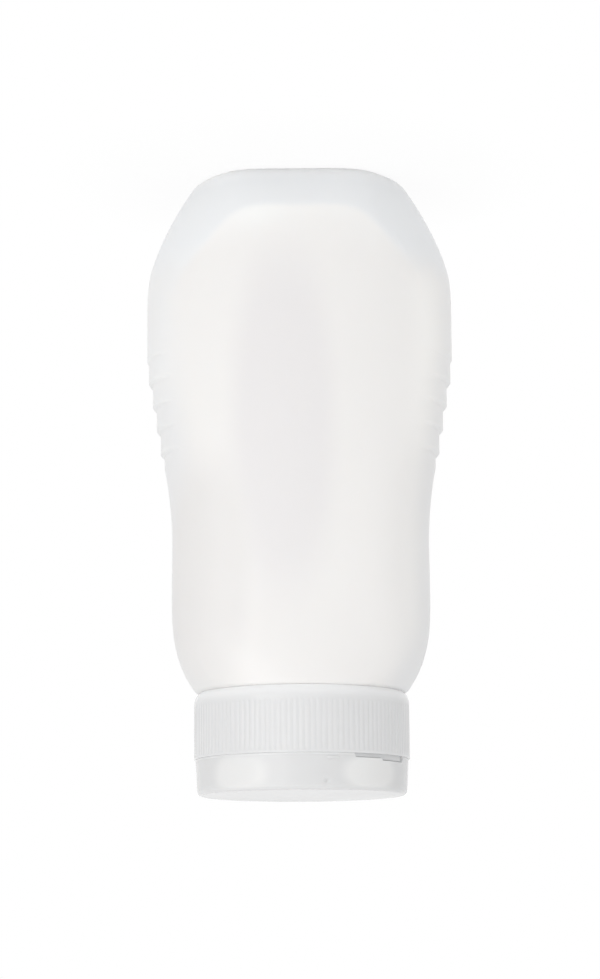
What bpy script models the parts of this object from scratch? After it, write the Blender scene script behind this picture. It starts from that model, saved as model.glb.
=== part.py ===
"""Squeeze bottle: an oval blow-moulded bottle with a screw cap, a slit valve and a flip-top lid.

The bottle stands on its base at the origin, with +Z up and its front towards -Y. All sizes are in metres.
"""
import math

import bmesh
import bpy
from mathutils import Matrix, Vector

# Clearance between pieces that touch or are cut by each other
GAP = 0.0003

# Bottle body: an oval section, cut by flatter front and back panels
BODY_WIDTH = 0.0840
BODY_DEPTH = 0.0520
PANEL_CUT = 0.0020           # how far each panel cuts into the oval at the body's middle
OVAL_POWER = 2.2
PANEL_REACH = 0.0460         # half axis of the panel's curve across the body
PANEL_CLOSES_AT = 0.1180     # height where the panels start to close round towards the cap
CREASE_SOFTNESS = 0.0012
BODY_WALL = 0.0012

# Heights up the body
HEEL_HEIGHT = 0.040
SHOULDER_HEIGHT = 0.1434

# Base
BASE_WIDTH = 0.0556
BASE_DEPTH = 0.0310
BASE_EDGE_RADIUS = 0.0025
STANDING_RING_WIDTH = 0.0035
PUSH_UP = 0.0022
PUSH_UP_SLOPE = 0.45         # share of the recess's half width over which it rises
HEEL_FLARE = 0.0080          # how far past the panels the heel would swell at its top
HEEL_WIDE_CURVE = 1.87       # how the heel swells sideways on its way up
HEEL_DEEP_CURVE = 1.95       # and towards the front and back
HEEL_FRONT_POWER = 2.5       # roundness of the heel's flat front and back
HEEL_FRONT_SPREAD = 0.0060   # how much wider their curve is than the heel itself
HEEL_CORNER_POWER = 1.95     # roundness of the heel's corners at their top
HEEL_CORNER_CHAMFER = 0.50   # how much less round they are at the base
HEEL_CORNER_FLARE = 0.0050   # how far past the panels the corners' curve would swell at their top
HEEL_CORNER_CURVE = 3.5
BASE_CORNER_FLARE = 0.0085   # how far past the base's front the corners' curve would reach
HEEL_CORNER_SOFTNESS = 0.0030

# Half widths at the waist, the lower bulge and the cap's end
WAIST_HALF = 0.0350
WAIST_AT = 0.1025
BULGE_HALF = 0.0351
BULGE_AT = 0.1160
SHOULDER_INSET = 0.0009      # the body's end lies this far inside the cap's skirt
SHOULDER_POWER = 3.0
SHOULDER_EDGE = 0.0012       # rounding between the body's side and the land under the cap
GRIP_END_STEP = 0.0021       # the last grip is this much wider than the waist, on each side

# Finger grips: small steps down each side
STEP_COUNT = 5
STEP_PITCH = 0.00655
FIRST_STEP_AT = 0.0517
FIRST_STEP_DEPTH = 0.0005
STEP_RISE = 0.0013           # height over which one step closes
GRIP_INNER = 0.88            # cosine of the angle off the width where the steps start to show
GRIP_OUTER = 0.975           # cosine of the angle where they are full

# Neck and thread
NECK_RADIUS = 0.0174
NECK_HEIGHT = 0.0104
NECK_ROOT_RADIUS = 0.0020
SHOULDER_LAND = 0.0060       # the flat land under the cap's rim ends this far inside the cap's radius
THREAD_LEAD = 0.00423
THREAD_TURNS = 1.1
THREAD_BEAD = 0.0011
THREAD_TAPER_TURNS = 0.08
THREAD_END_SHARE = 0.45      # the bead's size at its very ends
THREAD_POINTS = 28           # points per turn
THREAD_BITE = 0.00015        # how far the cap's bead stands off its wall, to clear the neck's crest
THREAD_DROP = 0.0048         # depth of the thread's middle below the mouth

# Cap: shared sizes
CAP_RADIUS = 0.0290
CAP_WALL = 0.0014
RIM_GAP = 0.0003
RIM_RADIUS = 0.0042          # arc by which the skirt rolls in at its free edge
RIM_ROLL = math.radians(45)
EDGE_BREAK = 0.0003
SKIRT_HEIGHT = 0.0172
DECK_THICKNESS = 0.0017
DECK_DROP = 0.0021           # deck's face below the split with the lid

# Low wall on the base that the lid closes over, broken at the hinge
CLOSING_WALL = 0.0007
CLOSING_WALL_RISE = 0.0020   # how far it stands above the split
CLOSING_WALL_RELIEF = 0.0001 # how far its break is cut below the split

# Cap's ribs
RIB_COUNT = 120
RIB_DEPTH = 0.00035
GROOVE_WIDTH = 0.00072       # across a groove at the skirt's surface
RIB_LOW_INSET = 0.0030
RIB_HIGH_INSET = 0.0006

# Inner threaded skirt
SLEEVE_WALL = 0.0018
SLEEVE_LENGTH = 0.0090
LINER_THICKNESS = 0.0009
LINER_LAP = 0.0040           # how far the liner reaches inside the mouth's bore

# Spout, valve and retainer
SPOUT_BORE = 0.0080
SPOUT_WALL = 0.0015
SPOUT_HEIGHT = 0.0060
SPOUT_LIP = 0.0018
SPOUT_LIP_THICKNESS = 0.0012
VALVE_FLANGE = 0.0015
VALVE_HEAD_RADIUS = 0.0056
VALVE_HEAD_RISE = 0.0022
VALVE_SKIN = 0.0009
VALVE_SLIT = 0.0060
VALVE_DISH = 0.0003          # how much the slit head sags at its middle
VALVE_FLOOR_RISE = 0.0003    # the head's underside lies this far above the flange's
SLIT_WIDTH = 0.0003
RETAINER_BORE = 0.0056

# Lid
LID_HEIGHT = 0.0093
LID_TAPER = 0.00045
LID_SHOULDER = 0.0004
LID_WALL = 0.0013
LID_END = 0.0012
LID_EDGE_RADIUS = 0.0012
SEAL_RING_WALL = 0.0010
SEAL_RING_LENGTH = 0.0062
STUD_RADIUS = 0.0026
THUMB_AZIMUTH = math.radians(221)
THUMB_SPAN = math.radians(41)
THUMB_DEPTH = 0.0010
THUMB_STEP_SPAN = math.radians(22.5)
THUMB_STEP_DEPTH = 0.0005

# Hinge of the lid, opposite the thumb notch
HINGE_AZIMUTH = THUMB_AZIMUTH - math.pi
HINGE_REACH = 0.0105         # from the film line on the base to the film line on the lid
STRAP_THICKNESS = 0.0009
STRAP_WIDTH = 0.0070
BAND_WIDTH = 0.0034
BAND_SPACING = 0.0010
FILM_INSET = 0.0013          # depth of the film lines inside the cap's outer surface
HINGE_BLOCK = 0.0018         # material behind the hinge pocket

# Fineness of the round forms
BODY_SEGMENTS = 40
CAP_SEGMENTS = 60
SMALL_SEGMENTS = 32

# Heights that follow from the sizes above
RIM_Z = SHOULDER_HEIGHT + RIM_GAP
SPLIT_Z = RIM_Z + SKIRT_HEIGHT
LID_LOW_Z = SPLIT_Z + GAP
LID_TOP_Z = LID_LOW_Z + LID_HEIGHT
DECK_TOP_Z = SPLIT_Z - DECK_DROP
DECK_LOW_Z = DECK_TOP_Z - DECK_THICKNESS
LINER_TOP_Z = DECK_LOW_Z - GAP
LINER_LOW_Z = LINER_TOP_Z - LINER_THICKNESS
MOUTH_Z = LINER_LOW_Z - GAP
NECK_ROOT_Z = MOUTH_Z - NECK_HEIGHT
SLEEVE_LOW_Z = DECK_LOW_Z - SLEEVE_LENGTH
THREAD_MID_Z = MOUTH_Z - THREAD_DROP
SLEEVE_RADIUS = NECK_RADIUS + THREAD_BEAD + GAP
SPOUT_TOP_Z = DECK_TOP_Z + SPOUT_HEIGHT
VALVE_TOP_Z = SPOUT_TOP_Z - SPOUT_LIP_THICKNESS - GAP
VALVE_RIM_Z = VALVE_TOP_Z + VALVE_HEAD_RISE
HINGE_OUTSET = CAP_RADIUS - FILM_INSET
HINGE_LOW_Z = (SPLIT_Z + LID_LOW_Z - HINGE_REACH) / 2
HINGE_HIGH_Z = HINGE_LOW_Z + HINGE_REACH
POCKET_INNER = HINGE_OUTSET - STRAP_THICKNESS - GAP
POCKET_HALF = STRAP_WIDTH / 2 + BAND_SPACING + BAND_WIDTH + GAP
HINGE_HALF_SPAN = math.atan2(POCKET_HALF + CAP_WALL, POCKET_INNER)
CLOSING_OUTER = CAP_RADIUS - LID_SHOULDER - LID_TAPER - LID_WALL - GAP
CLOSING_INNER = CLOSING_OUTER - CLOSING_WALL
CLOSING_TOP_Z = SPLIT_Z + CLOSING_WALL_RISE

MILKY = (0.90, 0.90, 0.89, 1.0)
CLOUDY = (0.80, 0.81, 0.82, 1.0)
SILICONE = (0.86, 0.86, 0.85, 1.0)
FOAM = (0.93, 0.93, 0.91, 1.0)


def clear_scene():
    for obj in list(bpy.data.objects):
        bpy.data.objects.remove(obj, do_unlink=True)


def new_collection(name):
    collection = bpy.data.collections.new(name)
    bpy.context.scene.collection.children.link(collection)
    return collection


def make_material(name, color, roughness):
    material = bpy.data.materials.new(name)
    material.use_nodes = True
    shader = material.node_tree.nodes["Principled BSDF"]
    shader.inputs["Base Color"].default_value = color
    shader.inputs["Roughness"].default_value = roughness
    shader.inputs["Metallic"].default_value = 0.0
    return material


def object_from_bmesh(bm, name, collection, material=None):
    bmesh.ops.recalc_face_normals(bm, faces=bm.faces)
    mesh = bpy.data.meshes.new(name)
    bm.to_mesh(mesh)
    bm.free()
    mesh.shade_smooth()
    mesh.set_sharp_from_angle(angle=math.radians(35))
    obj = bpy.data.objects.new(name, mesh)
    collection.objects.link(obj)
    if material:
        mesh.materials.append(material)
    return obj


def as_cutter(obj):
    obj.hide_render = True
    obj.display_type = "WIRE"
    return obj


def add_boolean(obj, other, operation):
    modifier = obj.modifiers.new(operation.title() + "_" + other.name, "BOOLEAN")
    modifier.operation = operation
    modifier.object = other
    modifier.solver = "EXACT"


def smooth_step(low, high, value):
    share = min(1.0, max(0.0, (value - low) / (high - low)))
    return share * share * (3.0 - 2.0 * share)


def soft_min(a, b, softness):
    """The smaller of two lengths, rounded where they cross."""
    blend = max(softness - abs(a - b), 0.0) / softness
    return min(a, b) - blend * blend * softness * 0.25


def oval_radius(angle, half_x, half_y, power):
    along = abs(math.cos(angle) / half_x) ** power
    across = abs(math.sin(angle) / half_y) ** power
    return (along + across) ** (-1.0 / power)


def grip_steps(z, taper):
    """How far the finger grips have stepped in at a height; the first step is the shallowest."""
    depth = 0.0
    for index in range(STEP_COUNT):
        middle = FIRST_STEP_AT + index * STEP_PITCH
        step = FIRST_STEP_DEPTH if index == 0 else (taper - FIRST_STEP_DEPTH) / (STEP_COUNT - 1)
        depth += step * smooth_step(middle - STEP_RISE / 2, middle + STEP_RISE / 2, z)
    return depth


def grip_slope(z, taper):
    """The same taper as a smooth slope, for the front and back, where the steps fade out."""
    low = FIRST_STEP_AT - STEP_PITCH / 2
    return taper * min(1.0, max(0.0, (z - low) / (STEP_COUNT * STEP_PITCH)))


def body_half_width(z, stepped):
    """Half the body's width at a height."""
    full = BODY_WIDTH / 2
    grip_end = FIRST_STEP_AT + (STEP_COUNT - 0.5) * STEP_PITCH
    last_grip = WAIST_HALF + GRIP_END_STEP
    if z <= grip_end:
        narrowing = grip_steps if stepped else grip_slope
        return full - narrowing(z, full - last_grip)
    if z <= WAIST_AT:
        share = (z - grip_end) / (WAIST_AT - grip_end)
        return WAIST_HALF + GRIP_END_STEP * (1.0 - share) ** 2
    if z <= BULGE_AT:
        return WAIST_HALF + (BULGE_HALF - WAIST_HALF) * smooth_step(WAIST_AT, BULGE_AT, z)
    share = (z - BULGE_AT) / (SHOULDER_HEIGHT - BULGE_AT)
    end = CAP_RADIUS - SHOULDER_INSET
    return end + (BULGE_HALF - end) * (1.0 - share ** SHOULDER_POWER)


def heel_radius(angle, z):
    """Distance of the heel's surface from the axis; it swells on its way up and then passes outside."""
    left = 1.0 - z / HEEL_HEIGHT
    widest = BODY_WIDTH / 2 + CREASE_SOFTNESS
    half_x = widest - (widest - BASE_WIDTH / 2) * left ** HEEL_WIDE_CURVE
    deepest = BODY_DEPTH / 2 + HEEL_FLARE
    front_y = deepest - (deepest - BASE_DEPTH / 2) * left ** HEEL_DEEP_CURVE
    front = oval_radius(angle, half_x + HEEL_FRONT_SPREAD, front_y, HEEL_FRONT_POWER)
    top_y = BODY_DEPTH / 2 + HEEL_CORNER_FLARE
    base_y = BASE_DEPTH / 2 + BASE_CORNER_FLARE
    corner_y = top_y - (top_y - base_y) * left ** HEEL_CORNER_CURVE
    corner = oval_radius(angle, half_x, corner_y, HEEL_CORNER_POWER - HEEL_CORNER_CHAMFER * left)
    return soft_min(front, corner, HEEL_CORNER_SOFTNESS)


def body_radius(angle, z):
    """Distance of the body's outer surface from the axis."""
    stepped = body_half_width(z, True)
    plain = body_half_width(z, False)
    on_side = smooth_step(GRIP_INNER, GRIP_OUTER, abs(math.cos(angle)))
    half_x = plain + (stepped - plain) * on_side
    closing = smooth_step(PANEL_CLOSES_AT, SHOULDER_HEIGHT, z)
    half_y = BODY_DEPTH / 2 + (CAP_RADIUS - SHOULDER_INSET - BODY_DEPTH / 2) * closing
    oval = oval_radius(angle, half_x, half_y + PANEL_CUT, OVAL_POWER)
    reach = PANEL_REACH + (plain + CREASE_SOFTNESS - PANEL_REACH) * closing
    panel = oval_radius(angle, reach, half_y, 2.0)
    radius = soft_min(oval, panel, CREASE_SOFTNESS)
    if z < HEEL_HEIGHT:
        radius = soft_min(radius, heel_radius(angle, z), CREASE_SOFTNESS)
    if z > BULGE_AT:
        radius = min(radius, plain)
    return radius


def body_heights():
    """Heights of the body's rings from the base edge to the shoulder, close together where it bends."""
    heel = [HEEL_HEIGHT * share for share in (0.15, 0.25, 0.35, 0.48, 0.64, 0.82, 1.0)]
    grips = []
    for index in range(STEP_COUNT):
        middle = FIRST_STEP_AT + index * STEP_PITCH
        grips += [middle - STEP_RISE / 2, middle + STEP_RISE / 2]
    waist = [grips[-1] + (WAIST_AT - grips[-1]) * share for share in (0.4, 1.0)]
    tail = SHOULDER_HEIGHT - BULGE_AT
    shoulder = [BULGE_AT + tail * share for share in (0.0, 0.34, 0.56, 0.73, 0.86)]
    return heel + grips + waist + shoulder


def body_ring(z, inset=0.0):
    """A ring of the body's section; its points lie closer together round the narrow sides."""
    ring = []
    for step in range(BODY_SEGMENTS):
        turn = 2.0 * math.pi * step / BODY_SEGMENTS
        angle = math.atan2(BODY_DEPTH * math.sin(turn), BODY_WIDTH * math.cos(turn))
        radius = body_radius(angle, z) - inset
        ring.append(Vector((radius * math.cos(angle), radius * math.sin(angle), z)))
    return ring


def scaled_ring(ring, share, z):
    return [Vector((p.x * share, p.y * share, z)) for p in ring]


def base_rings():
    """The recessed base, its standing ring and the rounded edge, from the middle outwards."""
    edge = body_ring(0.0, BASE_EDGE_RADIUS)
    inner = body_ring(0.0, BASE_EDGE_RADIUS + STANDING_RING_WIDTH)
    rings = [scaled_ring(inner, 1.0 - 2 * PUSH_UP_SLOPE, PUSH_UP)]
    for share in (0.7, 0.3):
        rise = PUSH_UP * smooth_step(0.0, 1.0, share)
        rings.append(scaled_ring(inner, 1.0 - PUSH_UP_SLOPE * share, rise))
    rings.append(inner)
    rings.append(edge)
    for angle in (30, 60, 90):
        turn = math.radians(angle)
        z = BASE_EDGE_RADIUS * (1.0 - math.cos(turn))
        rings.append(body_ring(z, BASE_EDGE_RADIUS * (1.0 - math.sin(turn))))
    return rings


def shoulder_rings():
    """The shoulder's rounded end, its land under the cap's rim, and the neck up to the mouth."""
    rings = []
    for degrees in (0, 45, 90):
        turn = math.radians(degrees)
        z = SHOULDER_HEIGHT - SHOULDER_EDGE * (1.0 - math.sin(turn))
        rings.append(body_ring(z, SHOULDER_EDGE * (1.0 - math.cos(turn))))
    fillet = NECK_ROOT_RADIUS
    land = (CAP_RADIUS - SHOULDER_LAND, SHOULDER_HEIGHT)
    root = arc(NECK_RADIUS + fillet, NECK_ROOT_Z + fillet, fillet, 270, 180, 2)
    for radius, z in [land] + root + [(NECK_RADIUS, MOUTH_Z)]:
        ring = []
        for step in range(BODY_SEGMENTS):
            angle = 2.0 * math.pi * step / BODY_SEGMENTS
            ring.append(Vector((radius * math.cos(angle), radius * math.sin(angle), z)))
        rings.append(ring)
    return rings


def loft(bm, rings, close_start):
    """A skin through closed rings of equal count."""
    rows = [[bm.verts.new(point) for point in ring] for ring in rings]
    count = len(rows[0])
    for lower, upper in zip(rows, rows[1:]):
        for index in range(count):
            after = (index + 1) % count
            bm.faces.new((lower[index], lower[after], upper[after], upper[index]))
    if close_start:
        bm.faces.new(list(reversed(rows[0])))


def helix_bead(name, radius, middle_z, phase, collection):
    """A thread's round bead: a helical curve with a bevel, thinning out at both ends, made a mesh."""
    count = int(THREAD_POINTS * THREAD_TURNS) + 1
    curve = bpy.data.curves.new(name, "CURVE")
    curve.dimensions = "3D"
    curve.bevel_depth = THREAD_BEAD
    curve.bevel_resolution = 1
    curve.use_fill_caps = True
    spline = curve.splines.new("POLY")
    spline.points.add(count - 1)
    for index, point in enumerate(spline.points):
        turn = THREAD_TURNS * index / (count - 1)
        angle = 2.0 * math.pi * turn + phase
        z = middle_z + (turn - THREAD_TURNS / 2) * THREAD_LEAD
        point.co = (radius * math.cos(angle), radius * math.sin(angle), z, 1.0)
        to_end = min(turn, THREAD_TURNS - turn)
        full = min(1.0, to_end / THREAD_TAPER_TURNS)
        point.radius = THREAD_END_SHARE + (1.0 - THREAD_END_SHARE) * full
    source = bpy.data.objects.new(name + "_curve", curve)
    collection.objects.link(source)
    bpy.context.view_layer.update()
    graph = bpy.context.evaluated_depsgraph_get()
    mesh = bpy.data.meshes.new_from_object(source.evaluated_get(graph))
    bm = bmesh.new()
    bm.from_mesh(mesh)
    bmesh.ops.remove_doubles(bm, verts=bm.verts, dist=0.00001)
    bead = object_from_bmesh(bm, name, collection)
    bead.matrix_world = source.matrix_world
    bpy.data.objects.remove(source, do_unlink=True)
    bpy.data.meshes.remove(mesh)
    return as_cutter(bead)


def turned(name, profile, collection, material=None, segments=SMALL_SEGMENTS):
    """A closed turned solid: a closed profile of (radius, height) points swept once round Z."""
    mesh = bpy.data.meshes.new(name)
    following = profile[1:] + profile[:1]
    area = sum(a[0] * b[1] - b[0] * a[1] for a, b in zip(profile, following))
    ordered = profile if area < 0.0 else profile[::-1]
    points = [(radius, 0.0, z) for radius, z in ordered]
    edges = [(index, (index + 1) % len(points)) for index in range(len(points))]
    if profile[0][0] == 0.0 and profile[-1][0] == 0.0:
        edges.pop()
    mesh.from_pydata(points, edges, [])
    obj = bpy.data.objects.new(name, mesh)
    collection.objects.link(obj)
    screw = obj.modifiers.new("Turn", "SCREW")
    screw.axis = "Z"
    screw.steps = segments
    screw.render_steps = segments
    screw.use_merge_vertices = True
    screw.merge_threshold = 0.00001
    screw.use_smooth_shade = True
    if material:
        mesh.materials.append(material)
    return obj


def box(name, low, high, collection, turn=0.0):
    """A box between two corners, given in a frame that is turned about Z."""
    bm = bmesh.new()
    bmesh.ops.create_cube(bm, size=1.0)
    size = [b - a for a, b in zip(low, high)]
    centre = [(a + b) / 2 for a, b in zip(low, high)]
    bmesh.ops.transform(bm, matrix=Matrix.Translation(centre) @ Matrix.Diagonal((*size, 1.0)), verts=bm.verts)
    bmesh.ops.rotate(bm, cent=(0, 0, 0), matrix=Matrix.Rotation(turn, 3, "Z"), verts=bm.verts)
    return object_from_bmesh(bm, name, collection)


def ring_sector(name, inner, outer, low, high, start, span, collection):
    """A block bent round the axis, from one azimuth over a span."""
    bm = bmesh.new()
    count = max(4, int(math.degrees(span) / 4))
    rings = []
    for index in range(count + 1):
        angle = start + span * index / count
        c, s = math.cos(angle), math.sin(angle)
        corners = ((inner, low), (outer, low), (outer, high), (inner, high))
        rings.append([bm.verts.new((radius * c, radius * s, z)) for radius, z in corners])
    for before, after in zip(rings, rings[1:]):
        for index in range(4):
            other = (index + 1) % 4
            bm.faces.new((before[index], before[other], after[other], after[index]))
    bm.faces.new(rings[0])
    bm.faces.new(list(reversed(rings[-1])))
    return as_cutter(object_from_bmesh(bm, name, collection))


def arc(centre_radius, centre_z, radius, start, end, count):
    """Points of an arc in the profile plane; angles in degrees from +radius towards +Z."""
    points = []
    for index in range(count + 1):
        angle = math.radians(start + (end - start) * index / count)
        points.append((centre_radius + radius * math.cos(angle), centre_z + radius * math.sin(angle)))
    return points


def build_bottle_body(parts, cutters, material):
    bm = bmesh.new()
    rings = base_rings() + [body_ring(z) for z in body_heights()] + shoulder_rings()
    loft(bm, rings, close_start=True)
    body = object_from_bmesh(bm, "bottle_body", parts, material)
    wall = body.modifiers.new("Wall", "SOLIDIFY")
    wall.thickness = BODY_WALL
    wall.offset = -1.0
    wall.use_even_offset = True
    thread = helix_bead("neck_thread", NECK_RADIUS, THREAD_MID_Z, 0.0, cutters)
    add_boolean(body, thread, "UNION")


def rib_grooves(cutters):
    """The grooves between the skirt's ribs, as one cutter of many small wedges."""
    bm = bmesh.new()
    low = RIM_Z + RIB_LOW_INSET
    high = SPLIT_Z - RIB_HIGH_INSET
    for index in range(RIB_COUNT):
        turn = Matrix.Rotation(2.0 * math.pi * (index + 0.5) / RIB_COUNT, 3, "Z")
        outer = CAP_RADIUS + RIB_DEPTH
        deep = CAP_RADIUS - RIB_DEPTH
        corners = ((outer, -GROOVE_WIDTH), (outer, GROOVE_WIDTH), (deep, 0.0))
        rows = []
        for z in (low, high):
            rows.append([bm.verts.new(turn @ Vector((x, y, z))) for x, y in corners])
        for side in range(3):
            other = (side + 1) % 3
            bm.faces.new((rows[0][side], rows[0][other], rows[1][other], rows[1][side]))
        bm.faces.new(list(reversed(rows[0])))
        bm.faces.new(rows[1])
    return as_cutter(object_from_bmesh(bm, "rib_grooves", cutters))


def hinge_block(name, low, high, outer, cutters):
    """The thick land behind the hinge straps, joined to the wall inside the base or the lid."""
    inner = POCKET_INNER - HINGE_BLOCK
    start, span = HINGE_AZIMUTH - HINGE_HALF_SPAN, 2 * HINGE_HALF_SPAN
    return ring_sector(name, inner, outer, low, high, start, span, cutters)


def closing_wall_break(cutters):
    """Where the low wall inside the lid is cut away for the hinge."""
    inner = CLOSING_INNER - GAP
    outer = CLOSING_OUTER + GAP
    low = SPLIT_Z - CLOSING_WALL_RELIEF
    half_span = HINGE_HALF_SPAN + 2 * GAP / CLOSING_INNER
    start, high = HINGE_AZIMUTH - half_span, CLOSING_TOP_Z + GAP
    return ring_sector("closing_wall_break", inner, outer, low, high, start, 2 * half_span, cutters)


def hinge_pocket(name, low, high, cutters):
    """The recess that the three straps lie in, cut flat across the wall."""
    outer = CAP_RADIUS + CAP_WALL
    low_corner = (POCKET_INNER, -POCKET_HALF, low)
    high_corner = (outer, POCKET_HALF, high)
    return as_cutter(box(name, low_corner, high_corner, cutters, HINGE_AZIMUTH))


def build_cap_base(parts, cutters, material):
    roll_end = math.degrees(RIM_ROLL)
    roll_centre = CAP_RADIUS - RIM_RADIUS
    roll_z = RIM_Z + RIM_RADIUS * math.sin(RIM_ROLL)
    inner_wall = CAP_RADIUS - CAP_WALL
    outer = [(CAP_RADIUS - EDGE_BREAK, SPLIT_Z), (CAP_RADIUS, SPLIT_Z - EDGE_BREAK)]
    outer += arc(roll_centre, roll_z, RIM_RADIUS, 0, -roll_end, 3)
    inside = list(reversed(arc(roll_centre, roll_z, RIM_RADIUS - CAP_WALL, 0, -roll_end, 3)))
    inside[0] = (inside[0][0], RIM_Z)
    inside += [(inner_wall, DECK_LOW_Z)]
    sleeve_outer = SLEEVE_RADIUS + SLEEVE_WALL
    sleeve = [
        (sleeve_outer, DECK_LOW_Z),
        (sleeve_outer, SLEEVE_LOW_Z),
        (SLEEVE_RADIUS, SLEEVE_LOW_Z),
        (SLEEVE_RADIUS, DECK_LOW_Z),
    ]
    lip_inner = SPOUT_BORE - SPOUT_LIP
    spout = [
        (SPOUT_BORE, DECK_LOW_Z),
        (SPOUT_BORE, SPOUT_TOP_Z - SPOUT_LIP_THICKNESS),
        (lip_inner, SPOUT_TOP_Z - SPOUT_LIP_THICKNESS),
        (lip_inner, SPOUT_TOP_Z),
        (SPOUT_BORE + SPOUT_WALL - EDGE_BREAK, SPOUT_TOP_Z),
        (SPOUT_BORE + SPOUT_WALL, SPOUT_TOP_Z - EDGE_BREAK),
        (SPOUT_BORE + SPOUT_WALL, DECK_TOP_Z),
        (CLOSING_INNER, DECK_TOP_Z),
        (CLOSING_INNER, CLOSING_TOP_Z),
        (CLOSING_OUTER, CLOSING_TOP_Z),
        (CLOSING_OUTER, SPLIT_Z),
    ]
    base = turned("cap_base", outer + inside + sleeve + spout, parts, material, CAP_SEGMENTS)
    pocket_low = HINGE_LOW_Z - GAP
    block_outer = CAP_RADIUS - CAP_WALL / 2
    block = hinge_block("base_hinge_block", pocket_low - CAP_WALL, SPLIT_Z, block_outer, cutters)
    add_boolean(base, block, "UNION")
    add_boolean(base, closing_wall_break(cutters), "DIFFERENCE")
    pocket = hinge_pocket("base_hinge_pocket", pocket_low, SPLIT_Z + CAP_WALL, cutters)
    add_boolean(base, pocket, "DIFFERENCE")
    add_boolean(base, rib_grooves(cutters), "DIFFERENCE")
    thread = helix_bead("sleeve_thread", SLEEVE_RADIUS + THREAD_BITE, THREAD_MID_Z, math.pi, cutters)
    add_boolean(base, thread, "UNION")


def build_flip_lid(parts, cutters, material):
    edge = LID_EDGE_RADIUS
    foot_radius = CAP_RADIUS - LID_SHOULDER
    end_radius = foot_radius - LID_TAPER
    inner_foot = foot_radius - LID_WALL
    inner_end = end_radius - LID_WALL
    inner_top = LID_TOP_Z - LID_END
    ring_inner = SPOUT_BORE + SPOUT_WALL + GAP
    ring_outer = ring_inner + SEAL_RING_WALL
    ring_low = inner_top - SEAL_RING_LENGTH
    stud_low = VALVE_RIM_Z + GAP
    profile = [(0.0, LID_TOP_Z)]
    profile += list(reversed(arc(end_radius - edge, LID_TOP_Z - edge, edge, 0, 90, 3)))
    profile += [
        (foot_radius, LID_LOW_Z + EDGE_BREAK),
        (foot_radius - EDGE_BREAK, LID_LOW_Z),
        (inner_foot, LID_LOW_Z),
        (inner_end, inner_top),
        (ring_outer, inner_top),
        (ring_outer, ring_low),
        (ring_inner, ring_low),
        (ring_inner, inner_top),
        (STUD_RADIUS, inner_top),
        (STUD_RADIUS, stud_low),
        (0.0, stud_low),
    ]
    lid = turned("flip_lid", profile, parts, material, CAP_SEGMENTS)
    block_outer = end_radius - LID_WALL / 2
    block = hinge_block("lid_hinge_block", LID_LOW_Z, inner_top + LID_END / 2, block_outer, cutters)
    add_boolean(lid, block, "UNION")
    pocket = hinge_pocket("lid_hinge_pocket", LID_LOW_Z - LID_WALL, HINGE_HIGH_Z + GAP, cutters)
    add_boolean(lid, pocket, "DIFFERENCE")
    start = THUMB_AZIMUTH - THUMB_SPAN / 2
    inner, outer = inner_foot - LID_WALL, CAP_RADIUS + LID_WALL
    low, notch_top = LID_LOW_Z - LID_WALL, LID_LOW_Z + THUMB_DEPTH
    notch = ring_sector("thumb_notch", inner, outer, low, notch_top, start, THUMB_SPAN, cutters)
    add_boolean(lid, notch, "DIFFERENCE")
    step_top = notch_top + THUMB_STEP_DEPTH
    step = ring_sector("thumb_step", inner, outer, low, step_top, start, THUMB_STEP_SPAN, cutters)
    add_boolean(lid, step, "DIFFERENCE")
    hang_on(lid, film_line("lid_film_line", HINGE_HIGH_Z, parts))


def film_line(name, height, parts):
    """An empty on one of the hinge's two bending lines, turned so that its Y runs along the line."""
    pivot = bpy.data.objects.new(name, None)
    parts.objects.link(pivot)
    turn = Matrix.Rotation(HINGE_AZIMUTH, 4, "Z")
    pivot.matrix_world = turn @ Matrix.Translation((HINGE_OUTSET, 0.0, height))
    return pivot


def hang_on(obj, pivot):
    obj.parent = pivot
    obj.matrix_parent_inverse = pivot.matrix_world.inverted()


def build_hinge(parts, material):
    """Three straps side by side; each bends at a film line on the base and one on the lid."""
    low, high = HINGE_LOW_Z, HINGE_HIGH_Z
    inner = HINGE_OUTSET - STRAP_THICKNESS
    band_start = STRAP_WIDTH / 2 + BAND_SPACING
    spans = {
        "hinge_strap": (-STRAP_WIDTH / 2, STRAP_WIDTH / 2),
        "hinge_band_left": (band_start, band_start + BAND_WIDTH),
        "hinge_band_right": (-band_start - BAND_WIDTH, -band_start),
    }
    pivot = film_line("base_film_line", low, parts)
    for name, (start, end) in spans.items():
        strap = box(name, (inner, start, low), (HINGE_OUTSET, end, high), parts, HINGE_AZIMUTH)
        strap.data.materials.append(material)
        hang_on(strap, pivot)


def build_slit_valve(parts, cutters, material):
    """A soft cup: its flange sits under the spout's lip and its slit head looks out through it."""
    top = VALVE_TOP_Z
    flange_radius = SPOUT_BORE - GAP
    head = VALVE_HEAD_RADIUS
    rim = VALVE_RIM_Z
    floor_z = top - VALVE_FLANGE + VALVE_FLOOR_RISE
    slit_edge = VALVE_SLIT / 2 + EDGE_BREAK
    profile = [
        (0.0, floor_z + VALVE_SKIN),
        (slit_edge, floor_z + VALVE_SKIN + VALVE_DISH),
        (head - VALVE_SKIN, rim - EDGE_BREAK),
        (head - VALVE_SKIN + EDGE_BREAK, rim),
        (head - EDGE_BREAK, rim),
        (head, rim - EDGE_BREAK),
        (head, top),
        (flange_radius, top),
        (flange_radius, top - VALVE_FLANGE),
        (head, top - VALVE_FLANGE),
        (slit_edge, floor_z + VALVE_DISH),
        (0.0, floor_z),
    ]
    valve = turned("slit_valve", profile, parts, material)
    half, thin = VALVE_SLIT / 2, SLIT_WIDTH / 2
    for name, turn in (("slit_one", 0.0), ("slit_two", math.pi / 2)):
        low, high = (-half, -thin, floor_z - VALVE_SKIN), (half, thin, rim + VALVE_SKIN)
        add_boolean(valve, as_cutter(box(name, low, high, cutters, turn)), "DIFFERENCE")


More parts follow.
